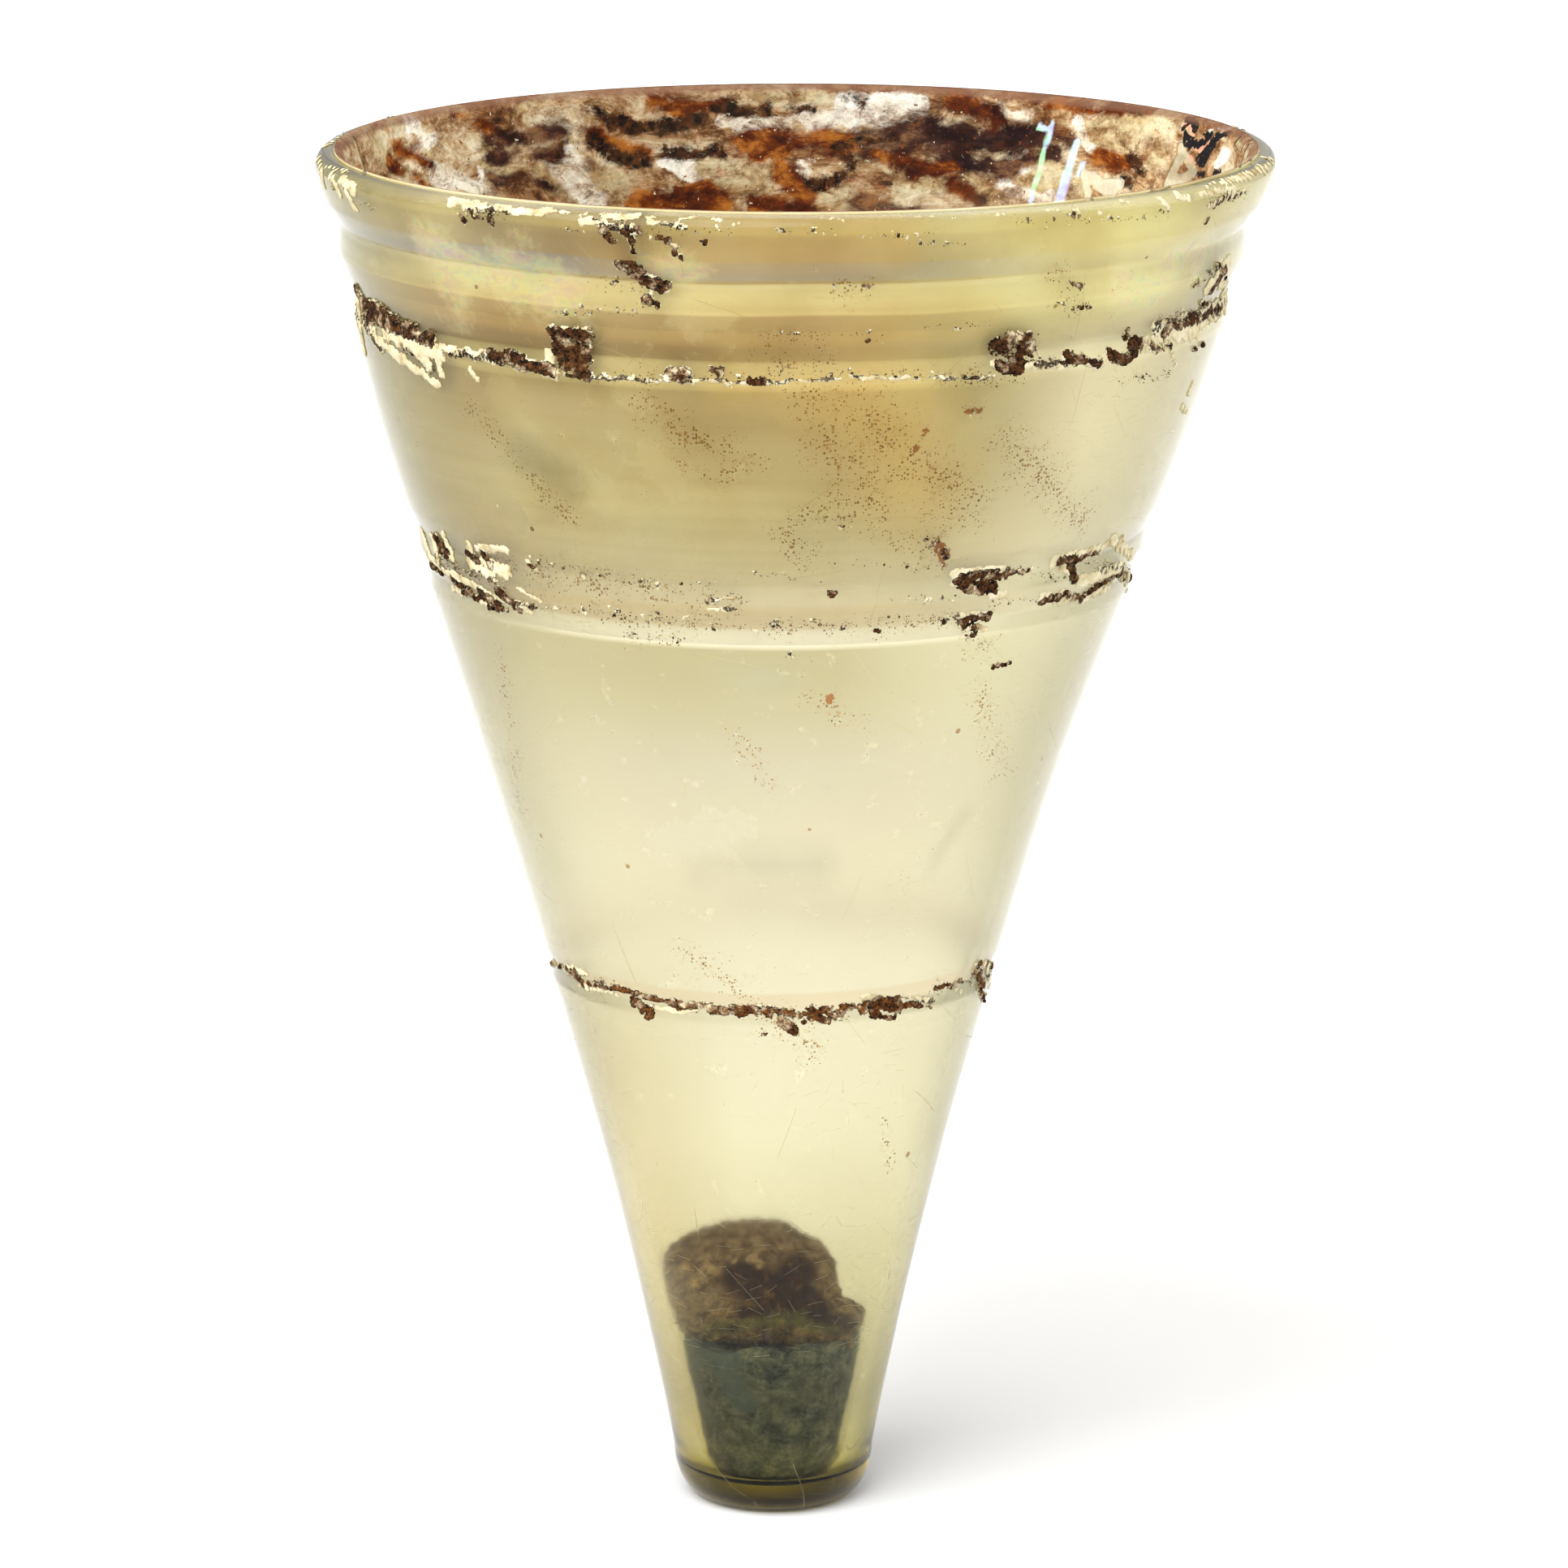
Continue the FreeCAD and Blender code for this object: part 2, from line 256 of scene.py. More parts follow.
def turning_tree():
    """Geometry nodes that turn an outline about the beaker's axis and lean its upper half."""
    tree, given = new_group("turned_glass", "GeometryNodeTree", (
        ("Outline", "Geometry"), ("Staves", "Int"), ("Ripple", "Float"), ("Lean Level", "Float"),
        ("Lean Slope", "Float"), ("Finish", "Material")), "Turned", "Geometry")
    rows = add(tree, "GeometryNodeAttributeDomainSize", {"Geometry": given["Outline"]}).outputs["Point Count"]
    columns = maths("ADD", given["Staves"], 1)
    grid = made(tree, "GeometryNodeMeshGrid", {"Vertices X": columns, "Vertices Y": rows})
    index = made(tree, "GeometryNodeInputIndex")
    row = maths("FLOORED_MODULO", index, rows)
    stave = maths("FLOOR", maths("DIVIDE", maths("ADD", index, 0.5), rows))
    turn = times(maths("DIVIDE", stave, given["Staves"]), 2 * pi)
    place = made(tree, "GeometryNodeInputPosition")
    outline = sampled(given["Outline"], place, row, "FLOAT_VECTOR")
    level = add(tree, "ShaderNodeSeparateXYZ", {0: outline}).outputs
    across = maths("COSINE", turn)
    along = maths("SINE", turn)
    unleaned = made(tree, "ShaderNodeCombineXYZ", {
        "X": times(across, level["X"]),
        "Y": times(along, level["X"]), "Z": level["Z"]})
    wave = made(tree, "ShaderNodeTexNoise", {"Vector": unleaned, "Scale": 32.0, "Detail": 1.5})
    fade = times(level["X"], 1 / (12 * mm), clamp=True)
    ripple = times(swung(wave, given["Ripple"]), fade)
    radius = maths("ADD", level["X"], ripple)
    rise = maths("SMOOTH_MAX", maths("SUBTRACT", level["Z"], given["Lean Level"]), 0.0, 6 * mm)
    lean = times(rise, given["Lean Slope"])
    leaned = made(tree, "ShaderNodeCombineXYZ", {
        "X": maths("ADD", times(across, radius), lean),
        "Y": times(along, radius), "Z": level["Z"]})
    placed = made(tree, "GeometryNodeSetPosition", {"Geometry": grid, "Position": leaned})
    side = sampled(given["Outline"], kept(tree, "hollow_side"), row)
    marked = stored(placed, "hollow_side", side)
    sealed = made(tree, "GeometryNodeMergeByDistance", {"Geometry": marked, "Distance": 0.002 * mm})
    smooth = made(tree, "GeometryNodeSetShadeSmooth", {"Geometry": sealed})
    return handed_out(smooth, given["Finish"], "Turned")


turned_glass = turning_tree()


def settled(piece):
    """The piece's modifiers turned into a plain mesh, with the modifiers taken off."""
    shape = bpy.data.meshes.new_from_object(piece.evaluated_get(bpy.context.evaluated_depsgraph_get()))
    shape.name = piece.name
    piece.modifiers.clear()
    piece.data = shape
    return piece


def shaped_by(piece, tree, inputs):
    """Run a geometry node tree on a piece and keep the result as its mesh."""
    modifier = piece.modifiers.new(tree.name, "NODES")
    modifier.node_group = tree
    sockets = {item.name: item.identifier for item in tree.interface.items_tree if item.in_out == "INPUT"}
    for name, value in inputs.items():
        modifier[sockets[name]] = value
    return settled(piece)


def new_object(name, data):
    """An object with its data, put in the scene."""
    piece = bpy.data.objects.new(name, data)
    bpy.context.scene.collection.objects.link(piece)
    return piece


def turned(name, points, staves, finish, hollow_from=None):
    """A piece turned from its outline points, from the foot outward and up."""
    mesh = bpy.data.meshes.new(name)
    edges = [(i, i + 1) for i in range(len(points) - 1)]
    mesh.from_pydata([(radius, 0, level) for radius, level in points], edges, [])
    marks = [float(hollow_from is not None and i >= hollow_from) for i in range(len(points))]
    mesh.attributes.new("hollow_side", "FLOAT", "POINT").data.foreach_set("value", marks)
    return shaped_by(new_object(name, mesh), turned_glass, {
        "Staves": staves, "Ripple": 0.5 * mm, "Lean Level": lean_level,
        "Lean Slope": lean_shift / (height - lean_level), "Finish": finish})


def blank_material(name):
    """A material with its shader, its output and object coordinates ready."""
    finish = bpy.data.materials.new(name)
    finish.use_nodes = True
    tree = finish.node_tree
    shader = tree.nodes["Principled BSDF"]
    place = add(tree, "ShaderNodeTexCoord").outputs["Object"]
    return finish, tree, shader, place


def noise(place, scale, detail=4.0, rough=0.6, stretch=(1, 1, 1), warp=0.0):
    """Value of a noise at a place, with its pattern stretched along the axes."""
    spread = made(place.id_data, "ShaderNodeMapping", {"Vector": place, "Scale": stretch})
    return made(place.id_data, "ShaderNodeTexNoise", {
        "Vector": spread, "Scale": scale, "Detail": detail, "Roughness": rough,
        "Distortion": warp})


def between(value, low, high, to_low=0.0, to_high=1.0):
    """A value carried from one range to another and held inside it."""
    return made(value.id_data, "ShaderNodeMapRange", {
        "Value": value, "From Min": low, "From Max": high, "To Min": to_low, "To Max": to_high})


def blended(share, first, second, kind="MIX"):
    """Colour between two colours by a share."""
    node = add(tree_of(share, first, second), "ShaderNodeMix", data_type="RGBA", blend_type=kind)
    for socket, value in ((node.inputs[0], share), (node.inputs[6], first), (node.inputs[7], second)):
        if isinstance(value, bpy.types.NodeSocket):
            node.id_data.links.new(value, socket)
        else:
            socket.default_value = (*value, 1) if isinstance(value, tuple) else value
    return node.outputs[2]


def ramp(value, stops):
    """Colour along a value, by stops of a share and a colour."""
    node = add(value.id_data, "ShaderNodeValToRGB", {"Fac": value})
    while len(node.color_ramp.elements) < len(stops):
        node.color_ramp.elements.new(0.5)
    for element, (share, colour) in zip(node.color_ramp.elements, stops):
        element.position = share
        element.color = (*colour, 1)
    return node.outputs[0]


def painted_share(tree, name):
    """The value that the piece's vertices keep under a name."""
    return add(tree, "ShaderNodeAttribute", attribute_name=name).outputs["Fac"]


def torn_group():
    """Shader nodes that tear a painted share into a mask with a ragged edge."""
    group, given = new_group("torn_patch", "ShaderNodeTree", (
        ("Share", "Float"), ("Rag", "Float"), ("Tear", "Float"), ("Edge", "Float"),
        ("Softness", "Float")), "Mask", "Float")
    ragged = maths("ADD", given["Share"], swung(given["Rag"], given["Tear"]))
    low = maths("SUBTRACT", given["Edge"], given["Softness"])
    high = maths("ADD", given["Edge"], given["Softness"])
    add(group, "NodeGroupOutput", {"Mask": between(ragged, low, high)})
    return group


torn_patch = torn_group()


def torn(name, rag, tear, edge, softness):
    """Mask of the share painted under a name, its edge torn by a noise."""
    return add(rag.id_data, "ShaderNodeGroup", {
        "Share": painted_share(rag.id_data, name), "Rag": rag, "Tear": tear, "Edge": edge,
        "Softness": softness}, node_tree=torn_patch).outputs["Mask"]


def hairline_group():
    """Shader nodes that draw a straight hairline through each cell of a random pattern."""
    group, given = new_group("hairline_scratches", "ShaderNodeTree", (
        ("Place", "Vector"), ("Cell", "Float"), ("Width", "Float"), ("Reach", "Float"),
        ("Slant", "Vector")), "Mask", "Float")
    per_metre = maths("DIVIDE", 1.0, given["Cell"])
    cell_place = scaled(given["Place"], per_metre)
    cells = add(group, "ShaderNodeTexVoronoi", {"Vector": cell_place, "Scale": 1.0})
    away = moved("SUBTRACT", cell_place, cells.outputs["Position"])
    random_way = moved("SUBTRACT", cells.outputs["Color"], (0.5, 0.5, 0.5))
    way = moved("NORMALIZE", moved("MULTIPLY", random_way, given["Slant"]))
    across = moved("DOT_PRODUCT", away, way, output="Value")
    gap = times(maths("ABSOLUTE", across), given["Cell"])
    line = between(gap, given["Width"], times(given["Width"], 0.4))
    far = cells.outputs["Distance"]
    end = between(far, given["Reach"], times(given["Reach"], 0.7))
    add(group, "NodeGroupOutput", {"Mask": times(line, end)})
    return group


hairline_scratches = hairline_group()


def hairlines(place, cell, width, reach, slant):
    """Mask of straight hairlines, one to a cell, with their lie weighted along the axes."""
    return add(place.id_data, "ShaderNodeGroup", {
        "Place": place, "Cell": cell, "Width": width, "Reach": reach, "Slant": slant},
        node_tree=hairline_scratches).outputs["Mask"]


def by_level(level, stops):
    """Colour by height, from stops of a height in millimetres and a colour."""
    low, high = stops[0][0], stops[-1][0]
    share = between(level, low * mm, high * mm)
    return ramp(share, [((stop - low) / (high - low), colour) for stop, colour in stops])


def wavering(place, reach):
    """Height of a place, let stray a little, as edges cut by hand do."""
    return maths("ADD", axis_of(place, "Z"), swung(noise(place, 40, 2), reach))


def matt(shader, colour, rough, shine, relief, strength, depth):
    """Finish a dry surface: its colour, roughness, faint shine and the relief of its grain."""
    tree = shader.id_data
    tree.links.new(colour, shader.inputs["Base Color"])
    shader.inputs["Roughness"].default_value = rough
    shader.inputs["Specular IOR Level"].default_value = shine
    bump = add(tree, "ShaderNodeBump", {"Height": relief, "Strength": strength, "Distance": depth})
    tree.links.new(bump.outputs[0], shader.inputs["Normal"])


def foot_tint_and_band_shading(level, cut_level):
    """Glass tint by level from the thick olive foot to the lip, with painted light and shade by facet."""
    # the foot's near-black heart is partly its thick olive glass and partly painted shade from the silt and
    # floor
    foot_edge, foot_heart = (0.16, 0.13, 0.01), (0.034, 0.027, 0.002)
    foot = by_level(level, [
        (0, (0.40, 0.34, 0.05)), (0.7, foot_edge), (1.2, foot_heart), (2.2, foot_heart),
        (3.2, (0.34, 0.30, 0.06)), (4.4, (0.66, 0.62, 0.30)), (13, (0.50, 0.48, 0.34)),
        (26, (0.76, 0.74, 0.58)), (40, (0.97, 0.95, 0.85))])
    clear, body_low, body_mid = (0.99, 0.98, 0.90), (0.74, 0.70, 0.55), (0.82, 0.78, 0.72)
    body_upper, body_top = (0.68, 0.62, 0.58), (0.56, 0.49, 0.46)
    groove, low_slope, high_slope = (0.95, 0.94, 0.84), (0.88, 0.75, 0.61), (0.88, 0.86, 0.79)
    low_flat, high_flat = (1.0, 1.0, 1.0), (0.80, 0.77, 0.70)
    # the flats, slopes and grooves of the cut bands are painted light and shade: lighter flats, darker slopes
    low_bands = by_level(cut_level, [
        (40, clear), (64.3, clear), (64.5, groove), (66.1, groove), (66.3, low_slope), (68.0, low_slope),
        (68.2, clear), (84, (0.97, 0.95, 0.84)), (97, (0.88, 0.85, 0.70)), (108, body_low),
        (111.3, body_low), (111.5, low_flat), (113.4, low_flat), (113.6, low_slope),
        (116.1, low_slope), (116.3, high_flat), (118.3, high_flat), (118.5, high_slope),
        (121.1, high_slope), (121.3, body_mid), (128, body_mid), (134, body_upper), (141.0, body_top)])
    # painted highlight and painted shadow lines at the ridge and lip edges, and painted shade on the mauve
    # lip slope
    foot_line, ridge_top, painted_highlight_line = (0.90, 0.84, 0.74), (0.57, 0.43, 0.33), (1.0, 1.0, 1.0)
    khaki, khaki_dark, painted_dark_line = (0.46, 0.39, 0.43), (0.35, 0.28, 0.31), (0.4, 0.32, 0.2)
    top_bands = by_level(cut_level, [
        (130, (0.72, 0.67, 0.63)), (134, body_upper), (141.6, body_top), (141.9, foot_line),
        (142.5, foot_line), (142.9, (0.68, 0.63, 0.56)), (144.9, (0.68, 0.62, 0.54)),
        (145.1, (0.34, 0.26, 0.21)), (146.4, (0.36, 0.27, 0.22)), (147.4, ridge_top), (148.3, ridge_top),
        (148.5, (0.44, 0.33, 0.28)), (150.2, (0.46, 0.35, 0.29)), (150.4, (0.84, 0.76, 0.66)),
        (152.0, painted_highlight_line), (153.7, painted_highlight_line), (153.8, painted_dark_line), (154.0, painted_dark_line),
        (154.2, (0.38, 0.42, 0.90)), (155.2, (0.32, 0.35, 0.80)), (156.2, (0.24, 0.26, 0.66)),
        (156.4, khaki_dark), (158.6, khaki_dark), (159.2, khaki), (159.7, (0.90, 0.84, 0.80)),
        (162, (1.0, 0.96, 0.90))])
    tint = blended(between(level, 36 * mm, 40 * mm), foot, low_bands)
    return blended(between(level, 130 * mm, 131 * mm), tint, top_bands)


def shaded_by_side(place, level, tint):
    """The tint duller on the side the glass lay on, with painted shade at its left and paler lip sides."""
    untouched, hazy_body, hazy_top = (1.0, 1.0, 1.0), (0.66, 0.65, 0.64), (0.50, 0.48, 0.37)
    hazed = by_level(level, [
        (28, untouched), (40, (0.78, 0.78, 0.76)), (63, hazy_body), (84, (0.64, 0.62, 0.60)),
        (97, (0.55, 0.53, 0.57)), (107, hazy_top), (111.2, hazy_top), (111.5, untouched),
        (112, untouched)])
    outward = moved("NORMALIZE", moved("MULTIPLY", place, (1, 1, 0)))
    across = axis_of(outward, "X")
    lain_on = between(axis_of(outward, "Y"), -0.35, -0.95)
    tint = blended(lain_on, tint, hazed, "MULTIPLY")
    # painted shade: the left side of the band zone and of the lower body is darkened
    painted_shade_left_edge = times(between(across, -0.75, -0.98), between(level, 110 * mm, 122 * mm))
    tint = blended(times(painted_shade_left_edge, 0.7), tint, (0.58, 0.60, 0.32))
    painted_shade_low_left = times(between(across, -0.2, -0.75), between(level, 72 * mm, 58 * mm))
    tint = blended(painted_shade_low_left, tint, (0.80, 0.76, 0.68), "MULTIPLY")
    lip_sides = times(between(maths("ABSOLUTE", across), 0.5, 0.9), between(level, 155 * mm, 156 * mm))
    return blended(times(lip_sides, 0.35), tint, (0.94, 0.94, 0.80))


def random_size(cells, least, largest):
    """A size for each cell, nothing where its random number falls under the least."""
    return between(axis_of(cells.outputs["Color"], "X"), least, 1.0, 0.0, largest)


def glass_finish():
    """Yellow-green glass with painted facet shading and glints, frosted inside and scratched outside."""
    finish, tree, shader, place = blank_material("weathered_glass")
    level = axis_of(place, "Z")
    cut_level = wavering(place, 0.7 * mm)
    side = painted_share(tree, "hollow_side")
    outer = maths("SUBTRACT", 1.0, side)
    tint = shaded_by_side(place, level, foot_tint_and_band_shading(level, cut_level))
    tint = blended(side, tint, (0.99, 0.98, 0.93))
    wheel_marks = times(
        between(noise(place, 60, 3, 0.6, (0.15, 0.15, 14)), 0.4, 0.6, 0.0, 0.12),
        between(level, 108 * mm, 112 * mm))
    tint = blended(wheel_marks, tint, (0.62, 0.56, 0.40))
    rag = noise(place, 400, 5, 0.66)
    fine = noise(place, 1400, 3, 0.65)
    patchy = noise(place, 62, 4, 0.65)
    # painted light: the right side of the upper body is made paler and brighter
    painted_light_right = times(between(axis_of(place, "X"), 7 * mm, 38 * mm), between(level, 88 * mm, 114 * mm))
    tint = blended(painted_light_right, tint, (1.0, 1.0, 0.92))

    veil = torn("veil", rag, 1.8, 0.36, 0.12)
    tint = blended(times(veil, 0.25), tint, (0.97, 0.96, 0.94))
    warm = times(painted_share(tree, "tan"), 0.36, clamp=True)
    tint = blended(warm, tint, (1.0, 0.80, 0.50))
    hazy = times(painted_share(tree, "smudge"), between(patchy, 0.35, 0.65, 0.3, 0.8))
    tint = blended(hazy, tint, (0.48, 0.47, 0.41))
    film_colours = noise(place, 360, 3, 0.6, (1, 1, 1.8), 0.8)
    rainbow = ramp(between(film_colours, 0.36, 0.64), [
        (0.0, (0.72, 0.78, 1.0)), (0.2, (0.74, 1.0, 0.90)), (0.4, (0.94, 1.0, 0.72)),
        (0.6, (1.0, 0.98, 0.88)), (0.8, (1.0, 0.76, 0.84)), (1.0, (0.80, 0.72, 1.0))])
    pearly = torn("sheen", rag, 1.7, 0.36, 0.2)
    tint = blended(times(pearly, 0.45), tint, rainbow)

    specks = add(tree, "ShaderNodeTexVoronoi", {"Vector": place, "Scale": 3300.0})
    clusters = torn("speck", rag, 2.6, 0.55, 0.5)
    stray_dots = between(patchy, 0.52, 0.8, 0.0, 0.6)
    swarm = times(maths("MAXIMUM", clusters, stray_dots), outer)
    dots = maths("LESS_THAN", specks.outputs["Distance"], times(swarm, random_size(specks, 0.35, 0.74)))
    stained = times(between(fine, 0.56, 0.63), times(clusters, outer))
    tint = blended(times(stained, 0.6), tint, (0.46, 0.33, 0.14))
    loose = add(tree, "ShaderNodeTexVoronoi", {"Vector": place, "Scale": 190.0})
    loose_dots = maths("LESS_THAN", loose.outputs["Distance"], random_size(loose, 0.45, 0.07))
    dots = maths("MAXIMUM", dots, times(outer, loose_dots))
    rust_spots = torn("rust_spot", fine, 1.3, 0.45, 0.08)
    dot_colour = blended(between(fine, 0.4, 0.6), (0.10, 0.05, 0.02), (0.34, 0.17, 0.06))
    tint = blended(dots, tint, dot_colour)
    tint = blended(rust_spots, tint, (0.22, 0.05, 0.01))

    long_ones = hairlines(place, 11 * mm, 0.06 * mm, 0.4, (1, 0.4, 0.8))
    short_ones = hairlines(place, 2.2 * mm, 0.04 * mm, 0.6, (0.5, 0.4, 2.0))
    worn = maths("MAXIMUM", between(patchy, 0.46, 0.62), between(level, 46 * mm, 38 * mm))
    worn = times(worn, between(level, 14 * mm, 24 * mm, 0.3, 1.0))
    scratched = times(maths("MAXIMUM", long_ones, times(short_ones, worn)), outer)
    tint = blended(times(scratched, 0.8), tint, (0.36, 0.31, 0.14))
    tree.links.new(tint, shader.inputs["Base Color"])
    polish = between(level, 36 * mm, 70 * mm, 0.04, 0.10)
    outer_rough = maths("ADD", polish, times(scratched, 0.3))
    outer_rough = maths("ADD", outer_rough, times(veil, 0.25))
    frost = between(level, 30 * mm, 80 * mm, 0.12, 0.36)
    rough = made(tree, "ShaderNodeMix", {0: side, 2: outer_rough, 3: frost}, data_type="FLOAT")
    tree.links.new(rough, shader.inputs["Roughness"])

    # painted highlights and glints: emission makes the ridges, the scratches and the iridescent patches glow
    dull, painted_highlight_glow = (0, 0, 0), (0.14, 0.13, 0.08)
    painted_ridge_highlights = by_level(cut_level, [
        (142.0, dull), (142.5, painted_highlight_glow), (144.6, painted_highlight_glow), (145.1, dull), (150.2, dull),
        (150.5, (0.10, 0.09, 0.06)), (150.9, dull), (153.0, dull), (153.5, (0.12, 0.11, 0.08)),
        (153.9, dull)])
    painted_ridge_highlights = blended(side, painted_ridge_highlights, dull)
    painted_glints = blended(scratched, painted_ridge_highlights, (0.17, 0.15, 0.09))
    painted_glints = blended(times(times(pearly, outer), 0.09), painted_glints, rainbow)
    tree.links.new(painted_glints, shader.inputs["Emission Color"])
    shader.inputs["Emission Strength"].default_value = 0.6
    bump = add(tree, "ShaderNodeBump", {"Height": fine, "Strength": 0.08, "Distance": 0.01 * mm})
    tree.links.new(bump.outputs[0], shader.inputs["Normal"])
    shader.inputs["Transmission Weight"].default_value = 1.0
    shader.inputs["IOR"].default_value = 1.5
    shader.inputs["Specular Tint"].default_value = (0.35, 0.35, 0.35, 1)
    absorption = add(tree, "ShaderNodeVolumeAbsorption", {"Color": (0.84, 0.73, 0.06, 1), "Density": 80.0})
    tree.links.new(absorption.outputs[0], tree.nodes["Material Output"].inputs["Volume"])
    return finish


glass_staves = 400
lip_crest = lip_outline()[1:-1]
glass = turned("glass_body_clear", outside + lip_crest + list(reversed(inside)), glass_staves,
               glass_finish(), hollow_from=len(outside) + len(lip_crest))
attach(glass, "root")
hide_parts("glass_body")

# the photograph's camera, with px for what one of its pixels covers at the beaker
eye = Vector((1.31 * mm, -785.95 * mm, 271.15 * mm))
look_down = radians(13.22)
photo_width, focal_px, sensor_mm = 1932, 8510, 36
px = 0.093 * mm


def surface_of(piece):
    """The piece's faces, ready to be met by a sight line."""
    corners = [vertex.co for vertex in piece.data.vertices]
    return BVHTree.FromPolygons(corners, [face.vertices for face in piece.data.polygons])


glass_surface = surface_of(glass)


def seen(across_px, down_px, surface):
    """Where the sight line through a pixel of the photograph first meets a surface."""
    right = (across_px - photo_width / 2) / focal_px
    up = (photo_width / 2 - down_px) / focal_px
    ahead = Vector((0, cos(look_down), -sin(look_down)))
    upward = Vector((0, sin(look_down), cos(look_down)))
    return surface.ray_cast(eye, (ahead + Vector((right, 0, 0)) + upward * up).normalized())[0]


def on_glass(turn, level):
    """The outside of the glass at a share of a turn and a level."""
    way = Vector((cos(2 * pi * turn), sin(2 * pi * turn), 0))
    middle = Vector((lean_shift * max(0, level - lean_level) / (height - lean_level), 0, level))
    return glass_surface.ray_cast(middle + way * 2 * rim_radius, -way)[0]


def spots_of(strokes, surface=glass_surface):
    """Places along the strokes, each from pixel to pixel, with the half width there."""
    spots, reaches = [], []
    for x0, y0, x1, y1, half in strokes:
        for s in np.linspace(0, 1, max(2, int(np.hypot(x1 - x0, y1 - y0) / 4))):
            place = seen(x0 + (x1 - x0) * s, y0 + (y1 - y0) * s, surface)
            if place is not None:
                spots.append(place)
                reaches.append(half * px)
    return spots, reaches


def places_of(piece, kind="co"):
    """Places of a piece's vertices, or their normals, as an array."""
    places = np.empty(len(piece.data.vertices) * 3, np.float32)
    piece.data.vertices.foreach_get(kind, places)
    return places.reshape(-1, 3).astype(float)


def painted(places, strokes, grow, surface):
    """How strongly the strokes cover the places, from 0 at their edge to 1 along their middle."""
    cover = np.zeros(len(places))
    for stroke in strokes:
        spots, reaches = spots_of([stroke], surface)
        if not spots:
            continue
        spots, reach = np.array(spots), reaches[0] * grow
        near = (places > spots.min(0) - reach).all(1) & (places < spots.max(0) + reach).all(1)
        near = np.where(near)[0]
        if len(near):
            gaps = np.linalg.norm(places[near][:, None] - spots[None], axis=2).min(1)
            cover[near] = np.maximum(cover[near], np.clip(1 - gaps / reach, 0, 1))
    return cover


def mark(piece, name, values):
    """Keep one value for each vertex under a name."""
    attribute = piece.data.attributes.new(name, "FLOAT", "POINT")
    attribute.data.foreach_set("value", np.asarray(values, np.float32))


def paint(piece, places, strokes, grow=1.0, surface=glass_surface):
    """Keep under each name how strongly its strokes cover the piece's places."""
    for name in strokes:
        mark(piece, name, painted(places, strokes[name], grow, surface))


speck_px = (
    (984, 637, 1045, 637, 34), (1000, 500, 1050, 600, 60), (1050, 500, 1190, 620, 70),
    (800, 500, 850, 550, 50), (870, 545, 930, 570, 36), (850, 580, 890, 590, 26), (960, 660, 1000, 690, 30),
    (1100, 660, 1170, 700, 30), (715, 712, 905, 745, 26), (725, 756, 880, 770, 22),
    (950, 770, 1165, 765, 22), (770, 785, 835, 790, 14), (975, 808, 1000, 810, 16),
    (1190, 800, 1230, 790, 26), (580, 500, 700, 640, 30), (1080, 640, 1060, 560, 40),
    (940, 440, 1010, 450, 30), (1030, 350, 1072, 352, 16), (1300, 340, 1330, 380, 26),
    (1240, 540, 1330, 640, 50), (1090, 1380, 1100, 1440, 16), (620, 820, 640, 1000, 30),
    (1200, 850, 1240, 960, 30), (900, 905, 950, 960, 22), (1000, 860, 1060, 890, 30),
    (850, 1180, 1000, 1290, 40), (600, 690, 700, 720, 30), (700, 463, 1230, 463, 9))
rust_spot_px = (
    (1196, 505, 1206, 505, 12), (1142, 528, 1142, 532, 9), (1153, 668, 1164, 686, 14),
    (927, 911, 934, 911, 11), (938, 926, 940, 930, 7), (1128, 553, 1128, 556, 8), (932, 962, 940, 966, 6),
    (1020, 858, 1024, 860, 6))
veil_px = (
    (735, 600, 760, 640, 40), (620, 490, 650, 560, 46), (765, 480, 790, 500, 26), (800, 560, 830, 600, 30),
    (600, 600, 640, 640, 30), (830, 380, 900, 400, 20), (700, 690, 740, 700, 20),
    (820, 1040, 900, 1020, 40))
smudge_px = (
    (905, 835, 955, 845, 46), (860, 1075, 900, 1070, 34), (930, 1065, 1010, 1070, 40),
    (640, 560, 700, 600, 40), (1150, 1060, 1190, 1000, 20))
tan_px = (
    (1060, 470, 1130, 600, 110), (1000, 480, 1060, 520, 80), (760, 330, 1100, 310, 60),
    (900, 470, 1000, 480, 50))
sheen_px = (
    (540, 305, 560, 345, 44), (630, 325, 700, 365, 48), (520, 300, 640, 350, 40), (800, 330, 850, 335, 30),
    (1470, 310, 1500, 320, 40), (1520, 290, 1530, 300, 30), (1440, 330, 1480, 300, 36),
    (1380, 350, 1440, 370, 30), (560, 395, 590, 400, 20))
paint(glass, places_of(glass), {
    "speck": speck_px, "rust_spot": rust_spot_px, "veil": veil_px, "smudge": smudge_px, "tan": tan_px,
    "sheen": sheen_px})

